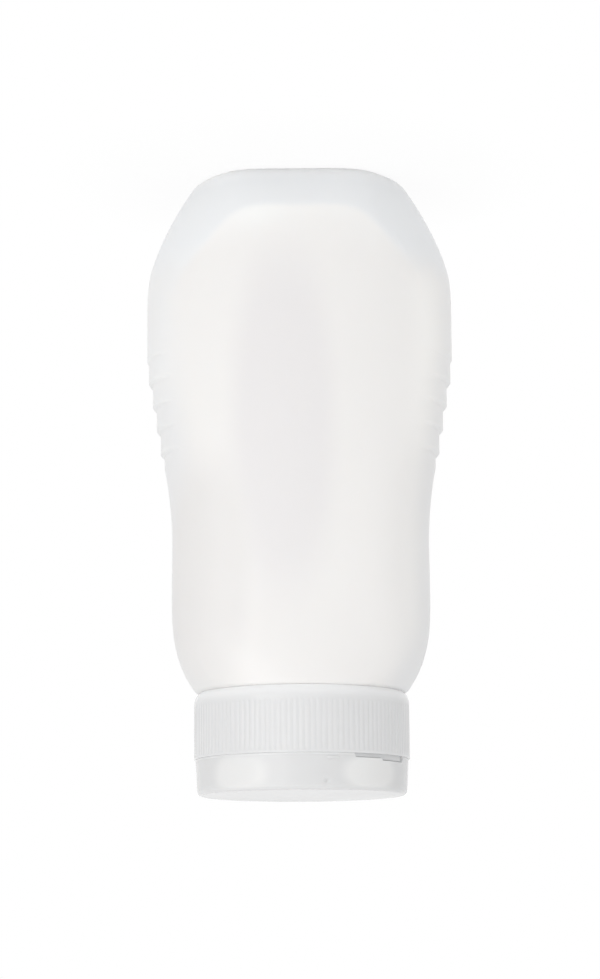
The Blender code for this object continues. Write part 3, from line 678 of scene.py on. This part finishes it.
def groove(azimuth):
    """Depth of the skirt's grooves as a share, from 0 on a rib's crest to 1 in a groove's middle."""
    phase = (azimuth * RIB_COUNT / (2.0 * math.pi)) % 1.0
    off = abs(phase - 0.5) / GROOVE_HALF
    return math.cos(off * math.pi / 2) ** 2 if off < 1.0 else 0.0


def skirt_shape(azimuth, radius, z):
    """Cuts the grooves and the hinge pocket into the turned skirt, and thickens it behind the pocket."""
    inner_wall = CAP_RADIUS - CAP_WALL
    pocket = pocket_radius(azimuth)
    outside = radius > inner_wall + CAP_WALL / 2
    if outside:
        if pocket and z > HINGE_LOW_Z - GAP:
            return min(pocket, radius), z
        low = RIM_Z + RIB_LOW_INSET
        high = SPLIT_Z - RIB_HIGH_INSET
        share = smooth_step(low, low + GROOVE_START, z) * (1.0 - smooth_step(high - GROOVE_STOP, high, z))
        return radius - RIB_DEPTH * share * groove(azimuth), z
    if in_block(azimuth) and z > HINGE_LOW_Z - GAP - CAP_WALL:
        return min(radius, POCKET_INNER - HINGE_BLOCK), z
    return radius, z


def make_skirt():
    """The ribbed skirt with its rolled-in rim and the hinge pocket."""
    roll_end = math.degrees(RIM_ROLL)
    centre = CAP_RADIUS - RIM_RADIUS
    rim_z = SHOULDER_HEIGHT - RIM_OVERLAP
    centre_z = rim_z + RIM_RADIUS * math.sin(RIM_ROLL)
    inner_wall = CAP_RADIUS - CAP_WALL
    ledge = HINGE_LOW_Z - GAP
    outer = corner(CAP_RADIUS, SPLIT_Z, JOINT_BREAK, 90, 0)
    stop_z = SPLIT_Z - RIB_HIGH_INSET
    start_z = RIM_Z + RIB_LOW_INSET
    outer += [(CAP_RADIUS, stop_z + row * GROOVE_STOP / 2) for row in (1, 0, -1, -2)]
    outer += [(CAP_RADIUS, ledge + NEAR), (CAP_RADIUS, ledge - NEAR)]
    outer += [(CAP_RADIUS, start_z + row * GROOVE_START / 4) for row in (5, 4, 3, 2, 1)]
    outer += arc(centre, centre_z, RIM_RADIUS, 0, -roll_end, 12)
    inside = arc(centre, centre_z, RIM_RADIUS - CAP_WALL, -roll_end, 0, 8)
    inside[0] = (outer[-1][0] - LIP_THICKNESS, SHOULDER_HEIGHT + LIP_RISE)
    block_low = ledge - CAP_WALL
    inside += [(inner_wall, block_low - NEAR), (inner_wall, block_low + NEAR), (inner_wall, SPLIT_Z)]
    profile = divide(outer + inside, spacing=0.0016)
    skirt = turned("cap_skirt", profile, RIB_COUNT * RIB_COLUMNS, skirt_shape, smooth_angle=32.0)
    heights = [vertex.co.z for vertex in skirt.data.vertices]
    # painted light on the rolled rim
    store(skirt, "rim", [1.0 - smooth_step(RIM_Z, RIM_Z + RIM_PAINTED_LIGHT, z) for z in heights])
    # painted light near the rim's lip, against the shade in the joint
    store(skirt, "edge", [painted_edge_light(z - rim_z) for z in heights])
    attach(skirt, "cap")
    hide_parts("cap_base")
    return skirt


def make_deck():
    """The deck with the spout above it and the threaded sleeve below it."""
    rim = CAP_RADIUS - CAP_WALL * DECK_RIM_SHARE
    sleeve_outer = SLEEVE_RADIUS + SLEEVE_WALL
    spout_outer = SPOUT_BORE + SPOUT_WALL
    lip_inner = SPOUT_BORE - SPOUT_LIP
    lip_low = SPOUT_TOP_Z - SPOUT_LIP_THICKNESS
    foot = 0.0008
    profile = [(rim, DECK_TOP_Z), (rim, DECK_LOW_Z)]
    profile += arc(sleeve_outer + foot, DECK_LOW_Z - foot, foot, 90, 180, 4)
    profile += corner(sleeve_outer, SLEEVE_LOW_Z, EDGE_BREAK, 0, -90)
    profile += corner(SLEEVE_RADIUS, SLEEVE_LOW_Z, EDGE_BREAK, 270, 180)
    profile += [(SLEEVE_RADIUS, DECK_LOW_Z), (SPOUT_BORE, DECK_LOW_Z)]
    profile += [(SPOUT_BORE, lip_low), (lip_inner, lip_low)]
    profile += corner(lip_inner, SPOUT_TOP_Z, EDGE_BREAK, 180, 90, 4)
    profile += corner(spout_outer, SPOUT_TOP_Z, 2 * EDGE_BREAK, 90, 0, 5)
    profile += arc(spout_outer + foot, DECK_TOP_Z + foot, foot, 180, 270, 5)
    deck = turned("cap_deck", divide(profile, spacing=0.002))
    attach(deck, "cap")
    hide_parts("cap_base")
    return deck


def make_sleeve_thread():
    """The thread inside the sleeve, half a turn from the neck's."""
    bead = helix_bead("sleeve_thread", SLEEVE_RADIUS + THREAD_BITE, THREAD_MID_Z, math.pi)
    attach(bead, "cap")
    return bead


def make_closing_wall():
    """The low wall inside the lid's foot, broken at the hinge, that shows through the thumb notch."""
    outer = CAP_RADIUS - LID_SHOULDER - LID_TAPER - LID_WALL - GAP
    inner = outer - CLOSING_WALL
    high = SPLIT_Z + CLOSING_WALL_RISE
    low = DECK_TOP_Z - GAP
    ledge_drop = 0.00003
    bite = 0.0002
    ledge = SPLIT_Z - ledge_drop
    backing = CAP_RADIUS - CAP_WALL + bite
    section = [(inner, low)] + corner(inner, high, EDGE_BREAK, 180, 90)
    section += corner(outer, high, EDGE_BREAK, 90, 0)
    section += [(outer, ledge), (backing, ledge), (backing, low)]
    break_half = math.atan2(POCKET_HALF + CAP_WALL, POCKET_INNER) + 2 * GAP / inner
    start = HINGE_AZIMUTH + break_half
    turn = 2.0 * math.pi - 2.0 * break_half
    rings = []
    for index in range(ROUND_COLUMNS + 1):
        azimuth = start + turn * index / ROUND_COLUMNS
        rings.append([around(radius, azimuth, z) for radius, z in section])
    wall = skin("closing_wall", rings, close_start=True, close_end=True)
    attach(wall, "cap")
    return wall


def thumb_notch(azimuth):
    """How far the lid's edge is raised over the thumb notch."""
    off = wrap(azimuth - THUMB_AZIMUTH)
    start, end = -THUMB_SPAN / 2, THUMB_SPAN / 2
    edge = math.radians(1.0)
    whole = smooth_step(start, start + edge, off) * (1.0 - smooth_step(end - edge, end, off))
    step_end = start + THUMB_STEP_SPAN
    step = whole * (1.0 - smooth_step(step_end - edge, step_end, off))
    return THUMB_DEPTH * whole + THUMB_STEP_DEPTH * step


def make_notch_ledge():
    """The cap's ledge that stands in the thumb notch, with the notch's step in its height."""
    outer = CAP_RADIUS - LID_SHOULDER - NOTCH_RECESS
    inner = CAP_RADIUS - CAP_WALL - GAP
    low = SPLIT_Z - EDGE_BREAK
    bevel = 0.0001
    half_span = THUMB_SPAN / 2 + math.radians(1.5)
    rings = []
    for index in range(NOTCH_COLUMNS + 1):
        azimuth = THUMB_AZIMUTH + half_span * (2.0 * index / NOTCH_COLUMNS - 1.0)
        high = SPLIT_Z + thumb_notch(azimuth) - THIN_JOINT
        section = [(inner, low), (inner, high), (outer - bevel, high), (outer, high - bevel), (outer, low)]
        rings.append([around(radius, azimuth, z) for radius, z in section])
    ledge = skin("notch_ledge", rings, close_start=True, close_end=True)
    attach(ledge, "cap")
    return ledge


# Lid

def lid_marks(azimuth, z):
    """The raised bar less the dimple, as a height on the lid's side."""
    reach = CAP_RADIUS - LID_SHOULDER
    across = reach * wrap(azimuth - DIMPLE_AZIMUTH)
    away = math.hypot(across, z - LID_LOW_Z - DIMPLE_RISE) / DIMPLE_RADIUS
    dimple = DIMPLE_DEPTH * math.exp(-away * away)
    past_end = abs(reach * wrap(azimuth - TAB_AZIMUTH)) - TAB_HALF_WIDTH
    past_edge = abs(z - LID_LOW_Z - TAB_RISE) - TAB_HALF_HEIGHT
    ends = 1.0 - smooth_step(-TAB_END_SOFTNESS, TAB_END_SOFTNESS, past_end)
    edges = 1.0 - smooth_step(-TAB_EDGE_SOFTNESS, TAB_EDGE_SOFTNESS, past_edge)
    return TAB_HEIGHT * ends * edges - dimple


def lid_shape(azimuth, radius, z):
    """Cuts the hinge pocket and the thumb notch into the turned lid, and adds its small marks."""
    wall = CAP_RADIUS - LID_SHOULDER - LID_TAPER - LID_WALL / 2
    pocket = pocket_radius(azimuth)
    if radius > wall:
        if pocket and z < HINGE_HIGH_Z + GAP:
            radius = min(radius, pocket)
        radius += lid_marks(azimuth, z)
    elif radius > wall - LID_WALL and in_block(azimuth) and z < LID_TOP_Z - LID_END - NEAR / 2:
        radius = min(radius, POCKET_INNER - HINGE_BLOCK)
    if radius > POCKET_INNER - HINGE_BLOCK - NEAR / 2:
        z += thumb_notch(azimuth) * max(0.0, 1.0 - (z - LID_LOW_Z) / NOTCH_FADE)
    return radius, z


def painted_reflection_share(x, y, z):
    """Painted reflections of the lamps, where the lid's side is a little paler, on each side of its front.
    """
    azimuth = math.atan2(y, x)
    reach = CAP_RADIUS - LID_SHOULDER
    share = 0.0
    for centre, half_width, half_height, strength in PAINTED_REFLECTIONS:
        off = reach * wrap(azimuth - centre)
        share += strength * field(off, z - LID_LOW_Z - REFLECTION_RISE, half_width, half_height)
    return share * (1.0 - smooth_step(LID_TOP_Z - LID_EDGE_RADIUS, LID_TOP_Z - 0.0001, z))


def make_lid():
    """The lid with its rounded end, sealing ring and stud, its hinge pocket and thumb notch."""
    foot = CAP_RADIUS - LID_SHOULDER
    end = foot - LID_TAPER
    inner_foot = foot - LID_WALL
    inner_end = end - LID_WALL
    inner_top = LID_TOP_Z - LID_END
    ring_inner = SPOUT_BORE + SPOUT_WALL + GAP
    ring_outer = ring_inner + SEAL_RING_WALL
    ring_low = inner_top - SEAL_RING_LENGTH
    stud_low = VALVE_RIM_Z + GAP
    ledge = HINGE_HIGH_Z + GAP
    slope = LID_TAPER / LID_HEIGHT
    profile = [(0.0, LID_TOP_Z)]
    profile += corner(end, LID_TOP_Z, LID_EDGE_RADIUS, 90, 0, 10)
    rows = [LID_LOW_Z + DIMPLE_RISE + DIMPLE_RADIUS * share / 4 for share in range(4, -9, -1)]
    rows += [ledge + NEAR, ledge - NEAR]
    rows += [LID_LOW_Z + TAB_RISE + TAB_HALF_HEIGHT * share / 4 for share in range(8, -9, -1)]
    for z in rows:
        profile.append((foot - slope * (z - LID_LOW_Z), z))
    foot_z = SPLIT_Z + THIN_JOINT
    profile += corner(foot, foot_z, JOINT_BREAK, 0, -90, 4)
    bevel = 0.0004
    profile += [(inner_foot, foot_z), (inner_end, inner_top - bevel), (inner_end - bevel, inner_top)]
    profile += [(ring_outer, inner_top)]
    profile += corner(ring_outer, ring_low, EDGE_BREAK, 0, -90)
    profile += corner(ring_inner, ring_low, EDGE_BREAK, 270, 180)
    profile += [(ring_inner, inner_top), (STUD_RADIUS, inner_top)]
    profile += corner(STUD_RADIUS, stud_low, 2 * EDGE_BREAK, 0, -90, 4)
    profile += [(0.0, stud_low)]
    profile = divide(profile, spacing=0.0012)
    lid = turned("lid_shell", profile, LID_COLUMNS, lid_shape, smooth_angle=50.0, closed=False)
    store(lid, "lid", [1.0] * len(lid.data.vertices))
    # painted light near the lid's foot, against the shade in the split
    store(lid, "edge", [painted_edge_light(vertex.co.z - foot_z) for vertex in lid.data.vertices])
    # painted reflections of the lamps on the lid's side
    store(lid, "painted_reflection", [painted_reflection_share(*vertex.co) for vertex in lid.data.vertices])
    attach(lid, "lid")
    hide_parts("flip_lid")
    return lid


# Hinge

def make_strap(name, node, start, end):
    """A strap with rounded long edges, thinned to a film along both bending lines."""
    thick = STRAP_THICKNESS
    film = 0.00035
    film_length = 0.0004
    ramp = 0.0011
    outline = [
        (-film, HINGE_LOW_Z), (-film, HINGE_LOW_Z + film_length), (-thick, HINGE_LOW_Z + ramp),
        (-thick, HINGE_HIGH_Z - ramp), (-film, HINGE_HIGH_Z - film_length), (-film, HINGE_HIGH_Z),
        (0.0, HINGE_HIGH_Z), (0.0, HINGE_LOW_Z),
    ]
    bm = bmesh.new()
    face = bm.faces.new([bm.verts.new((HINGE_OUTSET + depth, start, z)) for depth, z in outline])
    grown = bmesh.ops.extrude_face_region(bm, geom=[face])
    moved = [item for item in grown["geom"] if isinstance(item, bmesh.types.BMVert)]
    bmesh.ops.translate(bm, verts=moved, vec=(0.0, end - start, 0.0))
    bmesh.ops.rotate(bm, cent=(0, 0, 0), matrix=Matrix.Rotation(HINGE_AZIMUTH, 3, "Z"), verts=bm.verts)
    bmesh.ops.recalc_face_normals(bm, faces=bm.faces)
    strap = link(name, mesh_of(name, bm), smooth_angle=50.0)
    rounding = strap.modifiers.new("Rounding", "BEVEL")
    rounding.width = STRAP_ROUNDING
    rounding.segments = 3
    rounding.limit_method = "ANGLE"
    rounding.angle_limit = math.radians(30)
    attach(strap, "straps")
    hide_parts(node)
    return strap


def make_hinge():
    """The middle strap and a narrower band on each side of it."""
    band = STRAP_WIDTH / 2 + BAND_SPACING
    return [
        make_strap("strap_middle", "hinge_strap", -STRAP_WIDTH / 2, STRAP_WIDTH / 2),
        make_strap("strap_left", "hinge_band_left", band, band + BAND_WIDTH),
        make_strap("strap_right", "hinge_band_right", -band - BAND_WIDTH, -band),
    ]


# Valve, its retainer and the liner

def slit_cutter(name, turn, low, high):
    """A thin upright blade across the axis, which cuts one slit."""
    bm = bmesh.new()
    bmesh.ops.create_cube(bm, size=1.0)
    bmesh.ops.scale(bm, vec=(VALVE_SLIT, SLIT_WIDTH, high - low), verts=bm.verts)
    bmesh.ops.translate(bm, vec=(0.0, 0.0, (low + high) / 2), verts=bm.verts)
    bmesh.ops.rotate(bm, cent=(0, 0, 0), matrix=Matrix.Rotation(turn, 3, "Z"), verts=bm.verts)
    return add_object(name, mesh_of(name, bm))


def make_valve():
    """The soft dished head with its crossed slits, its rolled wall and its flange."""
    flange = SPOUT_BORE - GAP
    head = VALVE_HEAD_RADIUS
    floor = VALVE_TOP_Z - VALVE_FLANGE + VALVE_FLOOR_RISE
    slit_edge = VALVE_SLIT / 2 + EDGE_BREAK
    crown = VALVE_SKIN / 2
    # The dish rises with the square of the distance from the middle
    profile = [(0.0, floor + VALVE_SKIN), (slit_edge * 0.5, floor + VALVE_SKIN + VALVE_DISH * 0.25)]
    profile += [(slit_edge, floor + VALVE_SKIN + VALVE_DISH)]
    profile += arc(head - crown, VALVE_RIM_Z - crown, crown, 180, 0, 8)
    profile += [(head, VALVE_TOP_Z), (flange, VALVE_TOP_Z), (flange, VALVE_TOP_Z - VALVE_FLANGE)]
    profile += [(head, VALVE_TOP_Z - VALVE_FLANGE), (slit_edge, floor + VALVE_DISH), (0.0, floor)]
    valve = turned("valve_head", divide(profile, spacing=0.0007), closed=False)
    for name, turn in (("slit_one", 0.0), ("slit_two", math.pi / 2)):
        cutter = slit_cutter(name, turn, floor - VALVE_SKIN, VALVE_RIM_Z)
        cut = valve.modifiers.new(name, "BOOLEAN")
        cut.operation = "DIFFERENCE"
        cut.object = cutter
        apply_modifiers(valve)
        bpy.data.objects.remove(cutter, do_unlink=True)
    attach(valve, "cap")
    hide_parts("slit_valve")
    return valve


def apply_modifiers(obj):
    """Turns an object's modifiers into plain mesh."""
    bpy.context.view_layer.update()
    graph = bpy.context.evaluated_depsgraph_get()
    mesh = bpy.data.meshes.new_from_object(obj.evaluated_get(graph))
    obj.modifiers.clear()
    obj.data = mesh


def make_retainer():
    """The ring that is pressed into the spout under the valve's flange."""
    top = VALVE_TOP_Z - VALVE_FLANGE - GAP
    low = DECK_LOW_Z + GAP
    outer = SPOUT_BORE - GAP
    profile = []
    bore = RETAINER_BORE
    for radius, z, start in ((outer, top, 90), (outer, low, 0), (bore, low, 270), (bore, top, 180)):
        profile += corner(radius, z, EDGE_BREAK, start, start - 90)
    ring = turned("retainer_ring", divide(profile, spacing=0.001))
    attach(ring, "cap")
    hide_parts("valve_retainer")
    return ring


def make_liner():
    """The flat foam ring between the bottle's mouth and the deck."""
    outer = SLEEVE_RADIUS - GAP
    bore = NECK_RADIUS - BODY_WALL - LINER_LAP
    profile = [(bore, LINER_TOP_Z), (outer, LINER_TOP_Z), (outer, LINER_LOW_Z), (bore, LINER_LOW_Z)]
    liner = turned("liner_ring", divide(profile, spacing=0.0006))
    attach(liner, "seal")
    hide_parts("seal_liner")
    return liner


# Materials

def new_material(name):
    material = bpy.data.materials.new(name)
    material.use_nodes = True
    nodes = material.node_tree.nodes
    shader = nodes["Principled BSDF"]
    return material, nodes, material.node_tree.links, shader


def noise_node(nodes, links, coordinates, scale, detail, roughness=0.5):
    node = nodes.new("ShaderNodeTexNoise")
    node.inputs["Scale"].default_value = scale
    node.inputs["Detail"].default_value = detail
    node.inputs["Roughness"].default_value = roughness
    links.new(coordinates, node.inputs["Vector"])
    return node.outputs["Fac"]


def ramp_to(nodes, links, source, low, high, start=0.3, end=0.7, rise="LINEAR"):
    """A value mapped to a range of numbers. Most of a noise lies between the usual start and end."""
    node = nodes.new("ShaderNodeMapRange")
    node.interpolation_type = rise
    node.inputs["From Min"].default_value = start
    node.inputs["From Max"].default_value = end
    node.inputs["To Min"].default_value = low
    node.inputs["To Max"].default_value = high
    links.new(source, node.inputs["Value"])
    return node.outputs["Result"]


def mix_colors(nodes, links, factor, first, second):
    """A colour between two others; each input is a value or another node's output."""
    node = nodes.new("ShaderNodeMix")
    node.data_type = "RGBA"
    for index, value in ((0, factor), (6, first), (7, second)):    # its factor and colour sockets
        if isinstance(value, bpy.types.NodeSocket):
            links.new(value, node.inputs[index])
        else:
            node.inputs[index].default_value = value
    return node.outputs[2]


def add_bump(nodes, links, shader, heights):
    """Bumps of several sizes: (source, distance in metres, strength)."""
    previous = None
    for source, distance, strength in heights:
        bump = nodes.new("ShaderNodeBump")
        bump.inputs["Distance"].default_value = distance
        bump.inputs["Strength"].default_value = strength
        links.new(source, bump.inputs["Height"])
        if previous:
            links.new(previous, bump.inputs["Normal"])
        previous = bump.outputs["Normal"]
    links.new(previous, shader.inputs["Normal"])


def plastic(name, colors, roughness, scatter, scatter_depth, peel, zones=()):
    """A moulded plastic: faint cloudiness, a fine grain, orange peel, long soft waves and rubbed spots.

    colors holds the two tones of the cloudiness and one for each zone, most of which are painted light and
    shade.
    """
    material, nodes, links, shader = new_material(name)
    place = nodes.new("ShaderNodeTexCoord").outputs["Object"]
    cloud = noise_node(nodes, links, place, CLOUD_SCALE, 4.0)
    grain = noise_node(nodes, links, place, GRAIN_SCALE, 3.0, 0.6)
    wave = noise_node(nodes, links, place, WAVE_SCALE, 2.0)
    orange = noise_node(nodes, links, place, PEEL_SCALE, 2.0)
    tone = mix_colors(nodes, links, ramp_to(nodes, links, cloud, 0.0, 1.0), colors["light"], colors["dark"])
    for zone in zones:
        share = nodes.new("ShaderNodeAttribute")
        share.attribute_name = zone
        tone = mix_colors(nodes, links, share.outputs["Fac"], tone, colors[zone])
    links.new(tone, shader.inputs["Base Color"])
    gloss = ramp_to(nodes, links, cloud, roughness - POLISHED, roughness + RUBBED)
    links.new(gloss, shader.inputs["Roughness"])
    shader.inputs["Subsurface Weight"].default_value = scatter
    shader.inputs["Subsurface Radius"].default_value = (1.0, 0.95, 0.9)
    shader.inputs["Subsurface Scale"].default_value = scatter_depth
    shader.inputs["IOR"].default_value = 1.5
    heights = ((wave, WAVE_HEIGHT, peel * 0.5), (orange, PEEL_HEIGHT, peel), (grain, GRAIN_HEIGHT, 0.5))
    add_bump(nodes, links, shader, heights)
    return material


def make_materials():
    """The four plastics, with their tones, roughness, scattering, its depth in metres, and orange peel."""
    milky = {
        "light": (0.865, 0.862, 0.858, 1.0),
        "dark": (0.845, 0.845, 0.845, 1.0),
        # painted shade from the waist up
        "waist": (0.820, 0.820, 0.822, 1.0),
        "panel": (0.858, 0.843, 0.829, 1.0),
        # painted cool shade on the heel
        "heel": (0.860, 0.873, 0.886, 1.0),
        # painted shade down the middle of the panel
        "lens": (0.805, 0.788, 0.788, 1.0),
        # painted shade beside the waist and the shoulder
        "painted_flank_shade": (0.800, 0.785, 0.775, 1.0),
        # painted light in a band down one side
        "painted_light_band": (0.945, 0.925, 0.900, 1.0),
        # painted highlight along the heel's crease
        "crease": (0.915, 0.905, 0.892, 1.0),
        # painted highlight on the panel near the heel's crease
        "painted_highlight": (0.940, 0.944, 0.928, 1.0),
        # painted light near the base
        "base": (0.960, 0.965, 0.970, 1.0),
    }
    cloudy = {
        "light": (0.735, 0.737, 0.742, 1.0),
        "dark": (0.715, 0.718, 0.723, 1.0),
        "lid": (0.700, 0.702, 0.705, 1.0),
        # painted light on the rolled rim
        "rim": (0.850, 0.852, 0.856, 1.0),
        # painted reflections of the lamps on the lid
        "painted_reflection": (0.800, 0.800, 0.795, 1.0),
        # painted light at the edges by the joints
        "edge": (0.950, 0.950, 0.950, 1.0),
    }
    soft = {"light": (0.84, 0.84, 0.83, 1.0), "dark": (0.80, 0.80, 0.79, 1.0)}
    foam = {"light": (0.90, 0.90, 0.88, 1.0), "dark": (0.85, 0.85, 0.83, 1.0)}
    return {
        "milky_plastic": plastic("milky_plastic_look", milky, 0.35, 0.35, 0.0018, 0.35, ZONES),
        "cloudy_plastic": plastic("cloudy_plastic_look", cloudy, 0.205, 0.40, 0.0018, 0.12, CAP_ZONES),
        "silicone": plastic("silicone_look", soft, 0.45, 0.4, 0.0010, 0.2),
        "foam": plastic("foam_look", foam, 0.85, 0.0, 0.0, 1.0),
    }


def dress(obj, material):
    obj.data.materials.clear()
    obj.data.materials.append(material)


# Floor, world, lights and camera

def sees_background(nodes, links):
    """1 for rays that see the background, also in a reflection, and 0 for those that light the object."""
    path = nodes.new("ShaderNodeLightPath")
    seen = path.outputs["Is Camera Ray"]
    for name in ("Is Glossy Ray", "Is Transmission Ray"):
        more = nodes.new("ShaderNodeMath")
        more.operation = "MAXIMUM"
        links.new(seen, more.inputs[0])
        links.new(path.outputs[name], more.inputs[1])
        seen = more.outputs[0]
    return seen


def mix_shaders(nodes, links, factor, first, second, surface):
    """Two shaders mixed by a factor, as the surface of a material or of the world."""
    mix = nodes.new("ShaderNodeMixShader")
    for index, source in enumerate((factor, first, second)):
        links.new(source, mix.inputs[index])
    links.new(mix.outputs["Shader"], surface)


def make_floor():
    """A pale round floor that is seen as white, but for the bottle's soft shadow."""
    bm = bmesh.new()
    bmesh.ops.create_circle(bm, cap_ends=True, segments=96, radius=FLOOR_RADIUS)
    floor = add_object("floor", mesh_of("floor", bm))
    floor.location = (0.0, 0.0, -FLOOR_DROP)
    material, nodes, links, _ = new_material("floor_look")
    nodes.clear()
    output = nodes.new("ShaderNodeOutputMaterial")
    diffuse = nodes.new("ShaderNodeBsdfDiffuse")
    diffuse.inputs["Color"].default_value = (FLOOR_WHITE, FLOOR_WHITE, FLOOR_WHITE, 1.0)
    glow = nodes.new("ShaderNodeEmission")
    glow.inputs["Color"].default_value = WHITE
    glow.inputs["Strength"].default_value = 1.0
    place = nodes.new("ShaderNodeTexCoord").outputs["Object"]
    length = nodes.new("ShaderNodeVectorMath")
    length.operation = "LENGTH"
    links.new(place, length.inputs[0])
    near = ramp_to(nodes, links, length.outputs["Value"], SHADOW_SEEN, 1.0, *SHADOW_REACH, "SMOOTHSTEP")
    seen = sees_background(nodes, links)
    factor = nodes.new("ShaderNodeMath")
    factor.operation = "MULTIPLY"
    links.new(seen, factor.inputs[0])
    links.new(near, factor.inputs[1])
    shaders = (diffuse.outputs[0], glow.outputs[0])
    mix_shaders(nodes, links, factor.outputs[0], *shaders, output.inputs["Surface"])
    floor.data.materials.append(material)


def make_world():
    """An even white room that is seen as plain white."""
    world = bpy.data.worlds.new("studio")
    bpy.context.scene.world = world
    world.use_nodes = True
    nodes, links = world.node_tree.nodes, world.node_tree.links
    nodes.clear()
    output = nodes.new("ShaderNodeOutputWorld")
    whites = []
    for strength in (ROOM_LEVEL, 1.0):
        white = nodes.new("ShaderNodeBackground")
        white.inputs["Color"].default_value = WHITE
        white.inputs["Strength"].default_value = strength
        whites.append(white.outputs[0])
    mix_shaders(nodes, links, sees_background(nodes, links), *whites, output.inputs["Surface"])


def soft_box(name, azimuth, elevation, distance, width, height, radiance, color=(1.0, 1.0, 1.0)):
    """A rectangular lamp that faces the bottle's middle; azimuth is from the camera's side towards +X."""
    a = math.radians(azimuth)
    e = math.radians(elevation)
    direction = Vector((math.sin(a) * math.cos(e), -math.cos(a) * math.cos(e), math.sin(e)))
    lamp = bpy.data.lights.new(name, "AREA")
    lamp.shape = "RECTANGLE"
    lamp.size = width
    lamp.size_y = height
    lamp.energy = radiance * math.pi * width * height
    lamp.color = color
    obj = add_object(name, lamp)
    obj.location = LIGHTS_AIM + direction * distance
    obj.rotation_mode = "QUATERNION"
    obj.rotation_quaternion = direction.to_track_quat("Z", "Y")
    obj.visible_camera = False


def make_lights():
    """Three soft boxes on the camera's side of the bottle, and one above it."""
    soft_box("left_box", 33.5, 8.0, 0.85, 0.54, 0.95, 1.53, (1.0, 0.995, 0.985))
    soft_box("front_box", -1.0, 8.0, 0.85, 0.54, 0.95, 0.50)
    soft_box("right_box", -50.0, 8.0, 0.85, 0.88, 0.95, 0.14)
    soft_box("top_box", 0.0, 82.0, 0.90, 0.80, 0.80, 0.42)


def make_camera():
    """A camera in front of the bottle that looks a little down on it and is turned upside down."""
    camera = bpy.data.cameras.new("camera")
    camera.lens = CAMERA_LENS
    camera.sensor_width = CAMERA_SENSOR
    obj = add_object("camera", camera)
    look = Matrix.Rotation(math.pi / 2 - CAMERA_PITCH, 4, "X") @ Matrix.Rotation(PHOTO_TURN, 4, "Z")
    obj.matrix_world = Matrix.Translation((CAMERA_OFFSET, -CAMERA_DISTANCE, CAMERA_HEIGHT)) @ look
    bpy.context.scene.camera = obj


def main():
    make_camera()
    looks = make_materials()
    milky = looks["milky_plastic"]
    cloudy = looks["cloudy_plastic"]
    dress(make_body(), milky)
    dress(make_neck_thread(), milky)
    dress(make_skirt(), cloudy)
    dress(make_deck(), cloudy)
    dress(make_sleeve_thread(), cloudy)
    dress(make_closing_wall(), cloudy)
    dress(make_notch_ledge(), cloudy)
    dress(make_lid(), cloudy)
    for strap in make_hinge():
        dress(strap, cloudy)
    dress(make_valve(), looks["silicone"])
    dress(make_retainer(), cloudy)
    dress(make_liner(), looks["foam"])
    make_floor()
    make_world()
    make_lights()
    bpy.context.scene.view_settings.view_transform = "Standard"


main()
